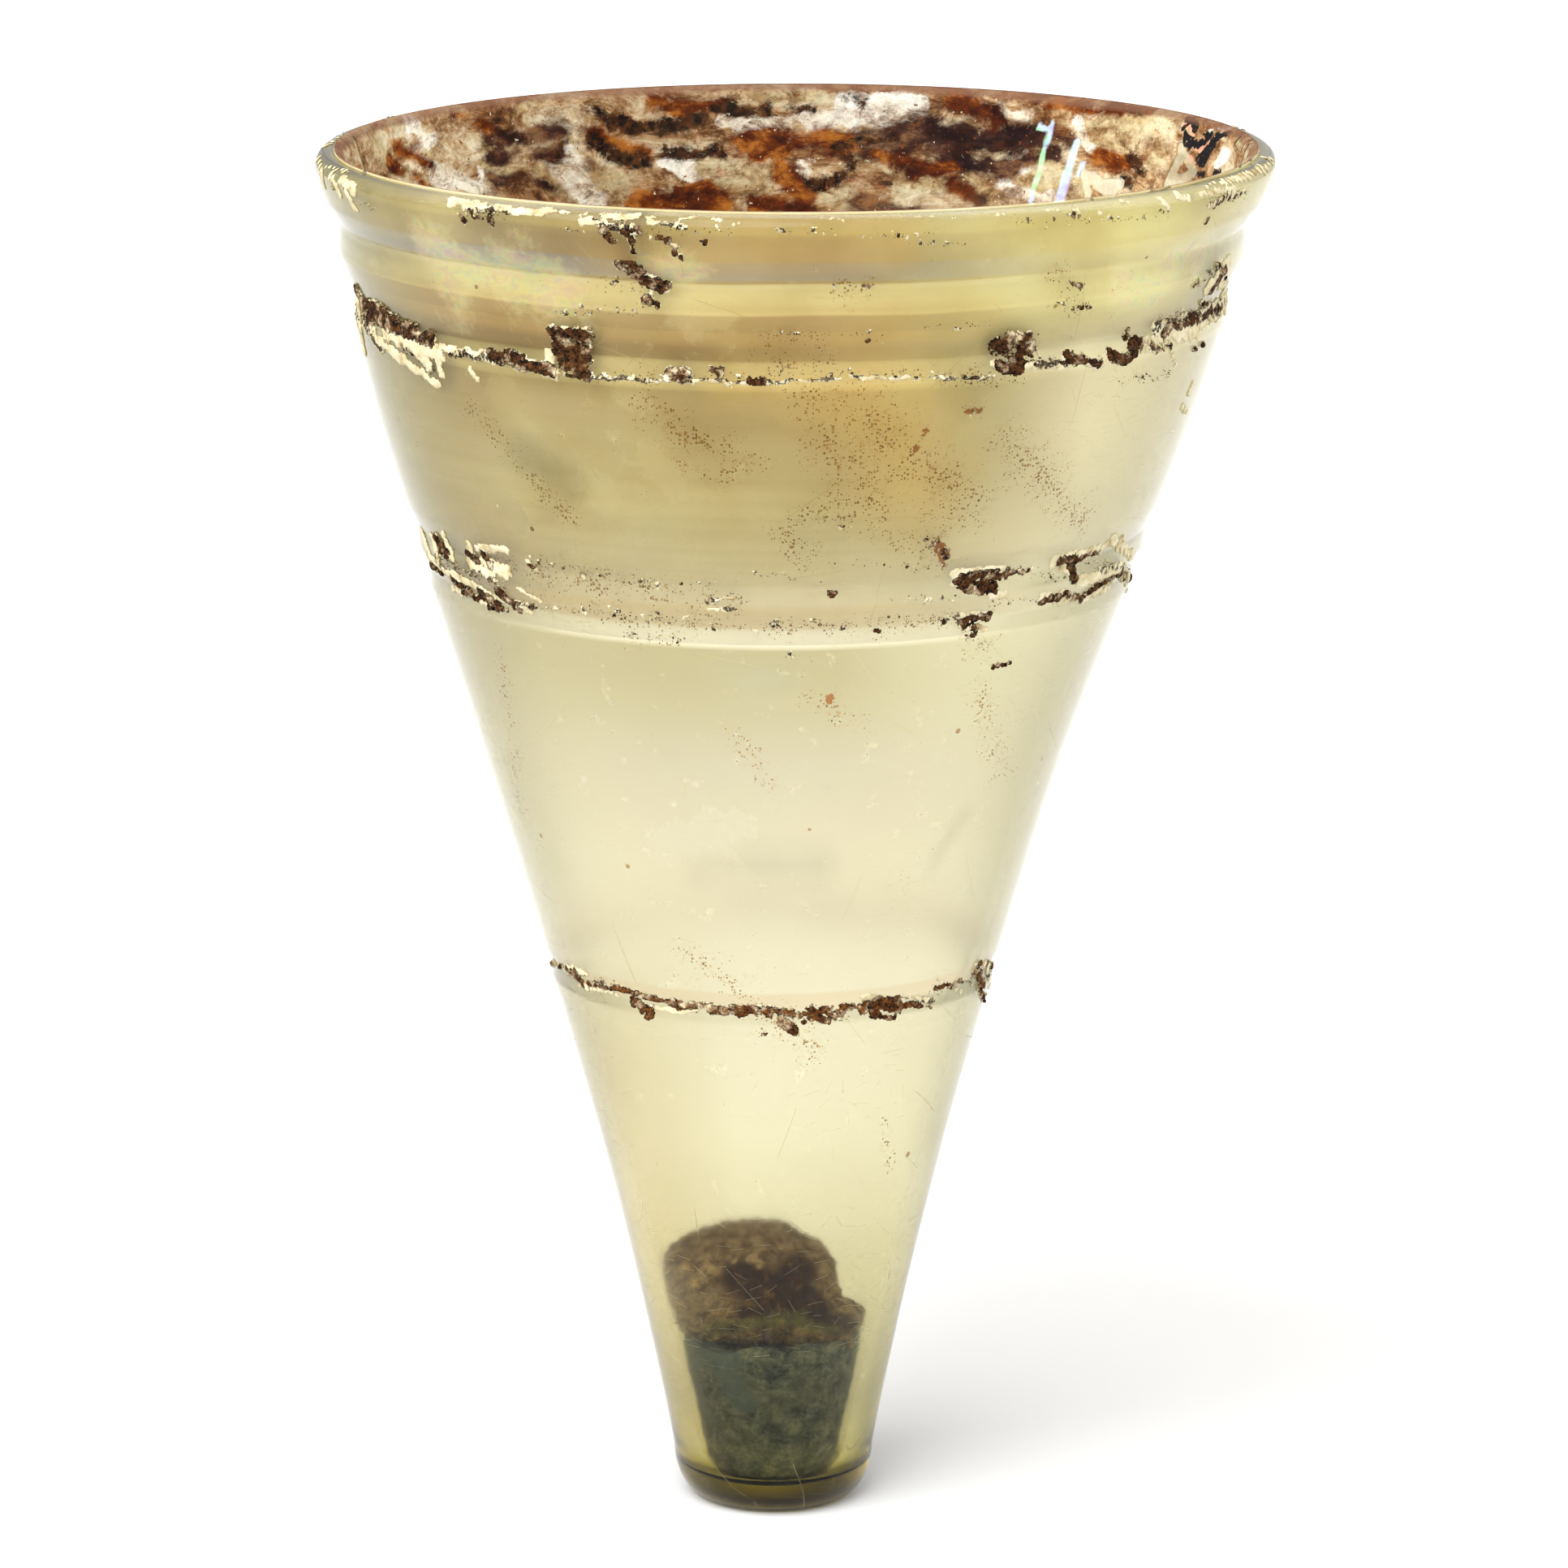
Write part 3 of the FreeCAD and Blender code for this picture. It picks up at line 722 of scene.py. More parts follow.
# A skin of burial weathering clings to the inside from the middle band over the lip. It is a
# brown, rusty and cream film, thin as paper and flaked away in places down to clear glass.
film_gap, film_thickness, film_end = 0.15 * mm, 0.25 * mm, 0.6 * pi
clear_px = (
    (437, 172, 452, 218, 8), (1335, 214, 1342, 250, 8), (1345, 218, 1376, 246, 10),
    (1352, 228, 1380, 226, 10), (1453, 180, 1472, 212, 8), (1452, 196, 1436, 232, 13),
    (1466, 216, 1420, 236, 10), (1405, 242, 1440, 228, 8), (1524, 174, 1538, 198, 9),
    (1542, 172, 1528, 204, 6), (566, 226, 588, 236, 8))
white_px = (
    (505, 156, 532, 168, 11), (515, 182, 549, 200, 9), (540, 214, 592, 236, 17), (575, 226, 592, 240, 12),
    (572, 176, 594, 208, 8), (575, 148, 600, 160, 8), (816, 204, 850, 202, 12), (838, 208, 852, 230, 12),
    (892, 148, 1048, 150, 13), (1040, 128, 1132, 124, 14), (1060, 146, 1134, 150, 14),
    (986, 234, 1000, 206, 11), (1000, 202, 1028, 204, 8), (692, 200, 724, 246, 20),
    (1326, 148, 1346, 186, 9), (1238, 128, 1274, 140, 10), (1250, 168, 1266, 198, 10),
    (1490, 164, 1516, 158, 8), (1498, 202, 1514, 186, 10), (1240, 220, 1290, 250, 12))
cream_px = (
    (456, 170, 500, 212, 18), (600, 175, 700, 182, 10), (590, 200, 690, 212, 10), (520, 165, 550, 215, 12),
    (690, 225, 765, 222, 18), (858, 212, 945, 220, 20), (1050, 206, 1112, 208, 11),
    (1108, 228, 1182, 230, 9), (1022, 236, 1046, 252, 14), (1276, 210, 1324, 246, 24),
    (1350, 160, 1440, 156, 20), (1352, 184, 1402, 182, 16), (1186, 222, 1226, 246, 16),
    (900, 116, 1010, 122, 9), (640, 130, 720, 122, 8), (470, 160, 490, 150, 8), (1440, 175, 1430, 200, 12),
    (1046, 192, 1060, 204, 8))
violet_px = (
    (602, 162, 692, 170, 12), (612, 186, 690, 190, 10), (604, 212, 682, 232, 8), (1048, 172, 1138, 168, 13),
    (1062, 190, 1112, 192, 12), (1138, 160, 1182, 196, 24), (1172, 162, 1276, 166, 17),
    (1172, 200, 1248, 200, 15), (1302, 158, 1322, 176, 11), (1052, 254, 1106, 258, 11),
    (1114, 258, 1180, 258, 8), (1240, 190, 1300, 194, 8), (1276, 172, 1300, 190, 10))
rust_px = (
    (492, 180, 534, 196, 11), (487, 202, 523, 230, 12), (455, 164, 480, 154, 6), (560, 140, 602, 152, 9),
    (920, 174, 1034, 180, 19), (924, 192, 992, 192, 9), (782, 252, 884, 254, 14), (934, 254, 996, 258, 12),
    (962, 214, 992, 238, 13), (1174, 236, 1202, 252, 15), (1352, 196, 1392, 202, 13),
    (1296, 124, 1420, 140, 8), (806, 118, 880, 128, 12), (1176, 122, 1236, 138, 14),
    (826, 242, 870, 236, 8), (1078, 196, 1138, 212, 9), (735, 172, 795, 188, 12), (1150, 216, 1180, 212, 8))
umber_px = (
    (735, 130, 762, 154, 11), (760, 142, 790, 158, 12), (784, 152, 864, 142, 11), (878, 134, 944, 132, 10),
    (940, 134, 1000, 137, 6), (1032, 118, 1070, 122, 8), (736, 186, 792, 198, 13), (818, 186, 882, 188, 10),
    (1034, 182, 1046, 212, 9), (1046, 214, 1006, 230, 9), (1396, 194, 1412, 220, 12),
    (1384, 224, 1400, 244, 9), (1052, 174, 1100, 176, 7), (566, 182, 592, 206, 4), (685, 190, 725, 180, 5))
flake_px = (
    (1454, 150, 1482, 156, 6), (1482, 156, 1502, 176, 5), (1455, 166, 1466, 182, 6),
    (1462, 176, 1500, 168, 6), (1480, 190, 1514, 166, 6), (1476, 202, 1500, 184, 6),
    (1470, 214, 1486, 208, 5), (1484, 224, 1502, 208, 7), (1472, 212, 1478, 222, 4),
    (1486, 196, 1498, 214, 5))
salmon_px = (
    (1458, 156, 1470, 164, 6), (1478, 174, 1490, 182, 7), (1468, 194, 1477, 202, 7),
    (1486, 166, 1496, 172, 5))
streak_px = (
    (1296, 152, 1281, 208, 5), (1281, 208, 1267, 260, 5), (1280, 156, 1292, 160, 6),
    (1327, 176, 1314, 216, 8), (1314, 216, 1303, 256, 10), (1334, 200, 1330, 216, 5))


def film_finish():
    """Brown, rusty and cream film with clear flakes and rainbow streaks, khaki on its glass side."""
    finish, tree, shader, place = blank_material("weathering_film")
    broad = noise(place, 110, 9, 0.76, (1, 1, 2.4), 0.5)
    rag = noise(place, 260, 9, 0.80, (1, 1, 1.5), 0.4)
    cloud = noise(place, 120, 9, 0.70, (1, 1, 2.0), 0.3)
    fine = noise(place, 900, 5, 0.7)
    colour = ramp(broad, [
        (0.34, (0.030, 0.012, 0.006)), (0.41, (0.13, 0.055, 0.018)), (0.47, (0.30, 0.17, 0.075)),
        (0.53, (0.45, 0.34, 0.20)), (0.60, (0.56, 0.48, 0.33)), (0.68, (0.62, 0.57, 0.44))])
    cream = [(0.38, (0.32, 0.215, 0.10)), (0.5, (0.42, 0.33, 0.175)), (0.62, (0.52, 0.455, 0.30))]
    white = [(0.38, (0.60, 0.54, 0.42)), (0.56, (0.72, 0.69, 0.60))]
    violet = [(0.38, (0.012, 0.004, 0.004)), (0.5, (0.048, 0.019, 0.012)), (0.60, (0.16, 0.080, 0.036))]
    rust = [(0.38, (0.026, 0.004, 0.0004)), (0.5, (0.115, 0.022, 0.001)), (0.60, (0.33, 0.11, 0.014))]
    umber = [(0.4, (0.005, 0.003, 0.002)), (0.62, (0.07, 0.024, 0.006))]
    for name, tear, edge, softness, along, stops in (
            ("cream", 2.0, 0.36, 0.1, cloud, cream), ("white", 2.2, 0.40, 0.07, cloud, white),
            ("violet", 1.6, 0.26, 0.26, cloud, violet), ("rust", 1.8, 0.28, 0.24, cloud, rust),
            ("umber", 2.4, 0.42, 0.16, fine, umber)):
        colour = blended(torn(name, rag, tear, edge, softness), colour, ramp(along, stops))
    stain = times(between(cloud, 0.56, 0.46), between(rag, 0.42, 0.56))
    colour = blended(times(stain, 0.7), colour, (0.42, 0.22, 0.09), "MULTIPLY")
    colour = blended(torn("salmon", rag, 0.9, 0.25, 0.05), colour, (0.50, 0.25, 0.15))
    colour = blended(torn("flake", fine, 1.2, 0.30, 0.03), colour, (0.008, 0.007, 0.008))
    # painted light: the film is lightened towards its left and right sides, where the lamp reaches it less
    aside = maths("ABSOLUTE", axis_of(place, "X"))
    painted_light_at_sides = between(aside, 18 * mm, 46 * mm, 0.92, 1.45)
    colour = scaled(colour, times(between(fine, 0.34, 0.62, 0.74, 1.1), painted_light_at_sides))
    grain = noise(place, 1500, 3, 0.6)
    colour = blended(between(grain, 0.68, 0.74), colour, (0.62, 0.52, 0.36))
    colour = blended(between(grain, 0.35, 0.30), colour, (0.16, 0.045, 0.010))
    edge = between(wavering(place, 1.2 * mm), 160.8 * mm, 161.3 * mm)
    colour = blended(times(edge, 0.75), colour, (0.17, 0.08, 0.045))
    dull = noise(place, 64, 4, 0.6, (1, 1, 1.5))
    rainbow = ramp(between(dull, 0.36, 0.64), [
        (0.0, (0.45, 0.40, 0.85)), (0.3, (0.60, 0.80, 0.92)), (0.5, (0.35, 0.78, 0.35)),
        (0.7, (0.80, 0.88, 0.80)), (1.0, (0.85, 0.75, 0.85))])
    streaks = torn("streak", rag, 0.35, 0.3, 0.14)
    colour = blended(times(streaks, 0.8), colour, rainbow)
    under = ramp(dull, [(0.36, (0.90, 0.79, 0.42)), (0.5, (0.97, 0.88, 0.52)), (0.64, (1.0, 0.94, 0.62))])
    colour = blended(painted_share(tree, "hollow_side"), under, colour)
    matt(shader, colour, 0.75, 0.1, fine, 0.6, 0.2 * mm)
    bare = torn("clear", rag, 0.5, 0.24, 0.04)
    thin = between(dull, 0.3, 0.6, 0.93, 1.0)
    shown = made(tree, "ShaderNodeMix", {0: bare, 2: thin, 3: 0.35}, data_type="FLOAT")
    tree.links.new(times(shown, painted_share(tree, "thickness")), shader.inputs["Alpha"])
    return finish


def spaced(points, step):
    """The outline's points set again at an even step."""
    points = np.array(points)
    runs = np.concatenate([[0], np.cumsum(np.linalg.norm(np.diff(points, axis=0), axis=1))])
    along = np.linspace(0, runs[-1], max(2, int(runs[-1] / step)))
    return list(zip(np.interp(along, runs, points[:, 0]), np.interp(along, runs, points[:, 1])))


# one fixed seed, so that every run strays and crumbles alike
noise_seed = 11
seed_set(noise_seed)


def strayed(places, reach, scale):
    """The places pushed about by a noise, so that what is drawn there frays."""
    return places + np.array([noise_vector(Vector(p) * scale) for p in places]) * reach


def rising(values, start, run):
    """0 up to the start and 1 after the run, or the other way round where the run is negative."""
    return np.clip((values - start) / run, 0, 1)


def film_outline(gap):
    """One side of the film, from the middle band up the wall and over the crest of the lip."""
    return ([p for p in inside_wall(gap) if middle_foot[1] <= p[1]]
            + lip_outline(gap, pi, film_end, 10)[1:])


film_near = spaced(film_outline(film_gap), 0.8 * mm)
film_far = spaced(film_outline(film_gap + film_thickness), 0.5 * mm)
film = turned("inner_weathering_film", film_near + list(reversed(film_far)) + film_near[:1], 540,
              film_finish(), hollow_from=len(film_near))
film_surface = surface_of(film)
film_places = places_of(film)
film_strayed = strayed(strayed(film_places, 1.5 * mm, 150), 0.6 * mm, 500)
paint(film, film_places, {"clear": clear_px, "streak": streak_px}, 1.05, film_surface)
paint(film, film_strayed, {
    "white": white_px, "cream": cream_px, "violet": violet_px, "rust": rust_px, "umber": umber_px,
    "flake": flake_px, "salmon": salmon_px}, 1.6, film_surface)
film_levels, film_shares_left = np.array([111.4, 121, 130, 142]) * mm, [0.16, 0.5, 0.8, 1.0]
film_left = np.interp(film_places[:, 2], film_levels, film_shares_left)
film_worn = (rising(film_places[:, 0], 16 * mm, 18 * mm) * rising(film_places[:, 2], 150 * mm, -6 * mm))
most_worn = 0.85
mark(film, "thickness", film_left * (1 - most_worn * film_worn))
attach(film, "root")
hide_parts("inner_weathering")

# Pale crust rides over the rounded lip in thin patches and dashes, worn through between them.
# It is lime and clay from the soil, grown onto the glass, with a few dark chips in it.
crust_gap = 0.05 * mm
# the three kinds of crust: pale ground, dark chips and loose grit
ground, dark, grit = 1, 2, 3
rim_pale_px = (
    (392, 196, 400, 228, 6), (398, 182, 424, 168, 5), (408, 216, 420, 240, 7), (420, 222, 436, 234, 9),
    (428, 238, 438, 256, 8), (402, 206, 430, 212, 4), (556, 248, 596, 256, 8), (572, 256, 640, 262, 6),
    (612, 256, 650, 260, 5), (646, 262, 676, 262, 7), (680, 262, 700, 262, 3), (708, 266, 722, 264, 3),
    (742, 266, 790, 266, 5), (716, 272, 780, 280, 7), (786, 268, 806, 268, 4), (838, 270, 856, 270, 3),
    (876, 272, 888, 272, 3), (906, 276, 924, 272, 2), (800, 274, 845, 280, 4), (1228, 264, 1236, 264, 3),
    (1290, 258, 1304, 260, 4), (1316, 258, 1328, 260, 3), (1356, 262, 1366, 264, 4),
    (1382, 248, 1390, 250, 4), (1430, 246, 1440, 256, 5), (1450, 240, 1464, 244, 6),
    (1480, 240, 1520, 234, 5), (1486, 230, 1506, 222, 4), (1504, 226, 1540, 214, 7),
    (1528, 222, 1560, 206, 7), (1545, 192, 1566, 196, 5), (1548, 206, 1568, 202, 5),
    (1490, 252, 1530, 238, 6), (1010, 270, 1080, 272, 2), (1110, 268, 1180, 268, 2),
    (785, 109, 808, 108, 3), (836, 107, 930, 106, 3), (985, 108, 1014, 107, 3), (1184, 114, 1194, 114, 4),
    (474, 147, 486, 145, 4), (722, 114, 736, 114, 3))
rim_dark_px = (
    (567, 266, 572, 271, 5), (586, 268, 592, 269, 3), (597, 271, 609, 274, 6), (410, 230, 412, 234, 2),
    (744, 282, 750, 290, 6), (750, 290, 756, 296, 5), (770, 284, 777, 292, 5), (777, 292, 779, 310, 4),
    (812, 294, 822, 297, 5), (822, 298, 832, 303, 4), (860, 294, 868, 298, 4), (832, 312, 842, 317, 4),
    (784, 280, 788, 284, 3), (1496, 252, 1484, 276, 2.5), (1322, 264, 1328, 268, 3),
    (1426, 254, 1430, 258, 3), (1506, 246, 1520, 240, 3), (478, 146, 484, 145, 3), (838, 107, 880, 106, 2),
    (895, 106, 925, 107, 2), (988, 107, 1010, 107, 2))
rim_grit_px = (
    (566, 262, 625, 266, 8), (740, 276, 800, 286, 12), (805, 282, 900, 286, 9), (960, 284, 1040, 286, 6),
    (1060, 290, 1150, 288, 5), (1250, 274, 1340, 268, 8), (1360, 272, 1440, 262, 8),
    (1480, 252, 1540, 236, 9), (1120, 300, 1200, 298, 6), (700, 280, 730, 284, 6),
    (1420, 300, 1500, 290, 10), (436, 246, 470, 258, 6))


def crust_tree():
    """Geometry nodes that lay torn, grainy crust and loose crumbs where marks lie on a sheet."""
    tree, given = new_group("torn_crust", "GeometryNodeTree", (
        ("Sheet And Marks", "Geometry"), ("Gap", "Float"), ("Thickness", "Float"), ("Stray", "Float"),
        ("Tear", "Float"), ("Grain", "Float"), ("Crumbs Per Area", "Float"), ("Crumb Size", "Float"),
        ("Seed", "Int"), ("Finish", "Material")), "Crust", "Geometry")
    place = made(tree, "GeometryNodeInputPosition")
    normal = made(tree, "GeometryNodeInputNormal")

    def gritty(scale, detail):
        return made(tree, "ShaderNodeTexNoise", {
            "Vector": place, "Scale": scale, "Detail": detail, "Roughness": 0.65})

    def chosen(shape, selection):
        return add(tree, "GeometryNodeSeparateGeometry", {"Geometry": shape, "Selection": selection},
                   domain="POINT").outputs

    def joined(*shapes):
        node = add(tree, "GeometryNodeJoinGeometry")
        for shape in shapes:
            tree.links.new(shape, node.inputs[0])
        return node.outputs[0]

    def by_chance(least, most):
        return made(tree, "FunctionNodeRandomValue", {0: least, 1: most, "Seed": given["Seed"]},
                    data_type="FLOAT_VECTOR")

    parts = chosen(given["Sheet And Marks"], maths("GREATER_THAN", kept(tree, "reach"), 0.0))
    ways = add(tree, "ShaderNodeTexNoise", {
        "Vector": place, "Scale": 380.0, "Detail": 4.0, "Roughness": 0.7}).outputs["Color"]
    astray = scaled(moved("SUBTRACT", ways, (0.5, 0.5, 0.5)), given["Stray"])
    off_place = moved("ADD", place, astray)

    def share_of(kind):
        off_kind = maths("ABSOLUTE", maths("SUBTRACT", kept(tree, "kind"), kind))
        same = chosen(parts["Selection"], maths("LESS_THAN", off_kind, 0.5))["Selection"]
        nearest = made(tree, "GeometryNodeSampleNearest",
                       {"Geometry": same, "Sample Position": off_place}, domain="POINT")
        centre = sampled(same, place, nearest, "FLOAT_VECTOR")
        reach = sampled(same, kept(tree, "reach"), nearest)
        gap = moved("DISTANCE", off_place, centre, output="Value")
        share = maths("DIVIDE", gap, maths("MAXIMUM", reach, 0.001 * mm))
        return maths("SUBTRACT", 1.0, share, clamp=True)

    darkness, paleness, grittiness = share_of(float(dark)), share_of(float(ground)), share_of(float(grit))
    islands = between(gritty(1300.0, 4.0), 0.55, 0.62, 0.0, 0.55)
    broken = between(gritty(700.0, 5.0), 0.5, 0.62, 0.0, 0.9)
    chips = maths("SUBTRACT", times(darkness, 1.5), broken)
    cover = maths("MAXIMUM", paleness, chips)
    cover = maths("MAXIMUM", cover, times(times(grittiness, 1.6, clamp=True), islands))
    ragged = maths("ADD", cover, swung(gritty(1100.0, 6.0), given["Tear"]))
    sheet = made(tree, "GeometryNodeSetPosition", {
        "Geometry": parts["Inverted"], "Offset": scaled(normal, given["Gap"])})
    sheet = stored(sheet, "ground", ragged)
    sheet = stored(sheet, "dark", maths("MAXIMUM", darkness, times(grittiness, 0.3)))
    sheet = stored(sheet, "grit", grittiness)
    sheet = stored(sheet, "way", normal, "FLOAT_VECTOR")

    bare_below = 0.3
    uncovered = maths("LESS_THAN", kept(tree, "ground"), bare_below)
    torn_sheet = made(tree, "GeometryNodeDeleteGeometry", {"Geometry": sheet, "Selection": uncovered},
                      domain="FACE", mode="ALL")
    raised = add(tree, "GeometryNodeExtrudeMesh", {
        "Mesh": torn_sheet, "Offset Scale": 0.0, "Individual": False}, mode="FACES").outputs
    rise = between(kept(tree, "ground"), bare_below, 0.55, 0.2, 1.0)
    body = between(kept(tree, "dark"), 0.0, 0.7, 0.35, 1.0)
    bumps = swung(gritty(1900.0, 5.0), given["Grain"], 0.35)
    lift = maths("ADD", times(body, given["Thickness"]), bumps)
    lift = maths("MAXIMUM", times(lift, rise), 0.04 * mm)
    way = kept(tree, "way", "FLOAT_VECTOR")
    topped = made(tree, "GeometryNodeSetPosition", {
        "Geometry": raised["Mesh"], "Selection": raised["Top"], "Offset": scaled(way, lift)})
    underside = made(tree, "GeometryNodeFlipFaces", {"Mesh": torn_sheet})
    shell = made(tree, "GeometryNodeMergeByDistance", {
        "Geometry": joined(topped, underside), "Distance": 0.001 * mm})

    swarm = between(maths("ADD", grittiness, swung(gritty(420.0, 4.0), 1.6)), 0.35, 0.8)
    scattered = add(tree, "GeometryNodeDistributePointsOnFaces", {
        "Mesh": sheet, "Density": times(swarm, given["Crumbs Per Area"]),
        "Seed": given["Seed"]}, distribute_method="RANDOM").outputs
    chance = add(tree, "FunctionNodeRandomValue", {2: 0.25, 3: 1.0, "Seed": given["Seed"]},
                 data_type="FLOAT").outputs[1]
    crumb_places = stored(stored(scattered["Points"], "dark", chance), "ground", 1.0)
    crumb_places = made(tree, "GeometryNodeSetPosition", {
        "Geometry": crumb_places, "Offset": scaled(way, times(given["Crumb Size"], 0.5))})
    grain = made(tree, "GeometryNodeMeshIcoSphere", {"Radius": 1.0, "Subdivisions": 1})
    crumb_size = scaled(by_chance((0.35, 0.35, 0.35), (1.3, 1.0, 0.8)), given["Crumb Size"])
    crumbs = made(tree, "GeometryNodeInstanceOnPoints", {
        "Points": crumb_places, "Instance": grain,
        "Rotation": by_chance((0, 0, 0), (6.28, 6.28, 6.28)), "Scale": crumb_size})
    return handed_out(joined(shell, crumbs), given["Finish"], "Crust")


torn_crust = crust_tree()


def crust_finish(name, heart, deep):
    """Grainy crust: cream at its thin edges, black where it breaks off and brown where it is thick."""
    finish, tree, shader, place = blank_material(name)
    grain = noise(place, 1500, 6, 0.7)
    rag = swung(noise(place, 1000, 7, 0.7), 1.1)
    share = maths("ADD", painted_share(tree, "dark"), rag)
    pale = ramp(noise(place, 520, 6, 0.65), [
        (0.34, (0.34, 0.25, 0.12)), (0.44, (0.55, 0.47, 0.28)), (0.62, (0.68, 0.62, 0.43))])
    thick = ramp(grain, [(0.40, deep), (0.52, heart), (0.68, tuple(min(1, c * 2.4) for c in heart))])
    pits = add(tree, "ShaderNodeTexVoronoi", {"Vector": place, "Scale": 2100.0}).outputs["Distance"]
    thick = blended(between(pits, 0.30, 0.18), thick, deep)
    dusty = noise(place, 500, 7, 0.75)
    thick = blended(between(dusty, 0.51, 0.57), thick, (0.27, 0.19, 0.11))
    thick = blended(between(dusty, 0.59, 0.62), thick, pale)
    rim_line = between(share, 0.17, 0.23)
    colour = blended(rim_line, pale, deep)
    colour = blended(between(share, 0.24, 0.36), colour, thick)
    matt(shader, colour, 0.9, 0.1, grain, 0.6, 0.1 * mm)
    return finish


burial_crust = crust_finish("burial_crust", (0.050, 0.019, 0.005), (0.003, 0.0015, 0.0008))


def marks_of(*layers):
    """Marks along the strokes of each kind of crust: place, reach times its growth, and kind."""
    return [(spot, reach * grow, kind) for kind, strokes, grow in layers
            for spot, reach in zip(*spots_of(strokes))]


def smudges_of(*spots):
    """Marks of single smudges, each given by its share of a turn, level, reach and kind."""
    return [(on_glass(turn, level * mm), reach * mm, kind) for turn, level, reach, kind in spots]


def strewn(low, high, count, largest, seed):
    """Marks of crust strewn round the back of a band, which the photograph doesn't show."""
    chance = random.Random(seed)
    marks = []
    for _ in range(count):
        turn, level = chance.uniform(0.03, 0.47), chance.uniform(low, high)
        length, reach = chance.uniform(0.001, 0.02), chance.uniform(0.25, 1) * largest
        thick = chance.random() < 0.55
        for s in np.linspace(0, 1, 5):
            place = on_glass(turn + length * s, level + chance.uniform(-0.4, 0.4) * mm)
            marks.append((place, reach, ground))
            marks.append((place, reach * 2.5, grit))
            if thick:
                marks.append((place, reach * 0.8, dark))
    return marks


def move_to(piece, places):
    """Move the piece's vertices to the places."""
    piece.data.vertices.foreach_set("co", places.astype(np.float32).ravel())
    piece.data.update()


def crust(name, node, outline, marks, thickness, step, finish, seed):
    """Crust over one band: a fine sheet on the glass, torn and thickened where its marks lie."""
    rows = spaced(outline, step)
    staves = int(2 * pi * max(radius for radius, level in rows) / step)
    piece = turned(name, rows, staves, finish)
    first = len(piece.data.vertices)
    piece.data.vertices.add(len(marks))
    places = places_of(piece)
    places[first:] = [mark_place for mark_place, reach, kind in marks]
    move_to(piece, places)
    mark(piece, "reach", [0] * first + [reach for mark_place, reach, kind in marks])
    mark(piece, "kind", [0] * first + [kind for mark_place, reach, kind in marks])
    shaped_by(piece, torn_crust, {
        "Gap": crust_gap, "Thickness": thickness, "Stray": 1.8 * mm, "Tear": 1.5, "Grain": 0.22 * mm,
        "Crumbs Per Area": 3.2e6, "Crumb Size": 0.1 * mm, "Seed": seed, "Finish": finish})
    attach(piece, "root")
    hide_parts(node)


def stretch_of(low, high):
    """The part of the outside that lies between two levels."""
    return [p for p in outside if low <= p[1] <= high]


rim_marks = (marks_of((ground, rim_pale_px, 1.2), (dark, rim_dark_px, 1.5), (grit, rim_grit_px, 1.3))
             + strewn(157.5 * mm, 161 * mm, 34, 0.7 * mm, 11))
crust("rim_crust_patches", "rim_crust", stretch_of(lip_edge[1], lip_level) + lip_outline(end=0.54 * pi)[1:],
      rim_marks, 0.16 * mm, 0.16 * mm, burial_crust, 1)

# Darker crust packs the cut under the lip band. It is thickest in chips at the sides, with
# cream edges and a crumbling brown heart, and runs as a grainy line along the cut between them.
upper_pale_px = (
    (441, 360, 443, 400, 8), (444, 400, 450, 434, 7), (450, 396, 470, 428, 9), (466, 420, 500, 444, 9),
    (500, 444, 540, 474, 7), (476, 408, 542, 438, 12), (538, 438, 546, 462, 6), (500, 420, 530, 450, 9),
    (545, 428, 594, 440, 6), (594, 438, 640, 448, 8), (640, 446, 684, 460, 8), (580, 454, 590, 466, 5),
    (678, 436, 680, 458, 7), (684, 406, 724, 408, 7), (700, 464, 836, 469, 3), (836, 469, 960, 472, 3),
    (960, 469, 1070, 467, 2.5), (1070, 467, 1224, 464, 3), (1226, 452, 1240, 456, 7),
    (1244, 414, 1262, 416, 8), (1262, 452, 1312, 450, 6), (1312, 440, 1354, 449, 7),
    (1362, 442, 1392, 440, 8), (1392, 432, 1412, 416, 6), (1410, 432, 1440, 426, 5),
    (1424, 412, 1474, 402, 15), (1470, 396, 1508, 372, 16), (1488, 354, 1512, 328, 13),
    (1500, 330, 1510, 366, 8), (1440, 428, 1448, 450, 4), (763, 326, 790, 336, 8), (786, 338, 818, 352, 9),
    (1456, 500, 1466, 524, 5), (1446, 524, 1440, 558, 4), (1463, 486, 1470, 470, 3))
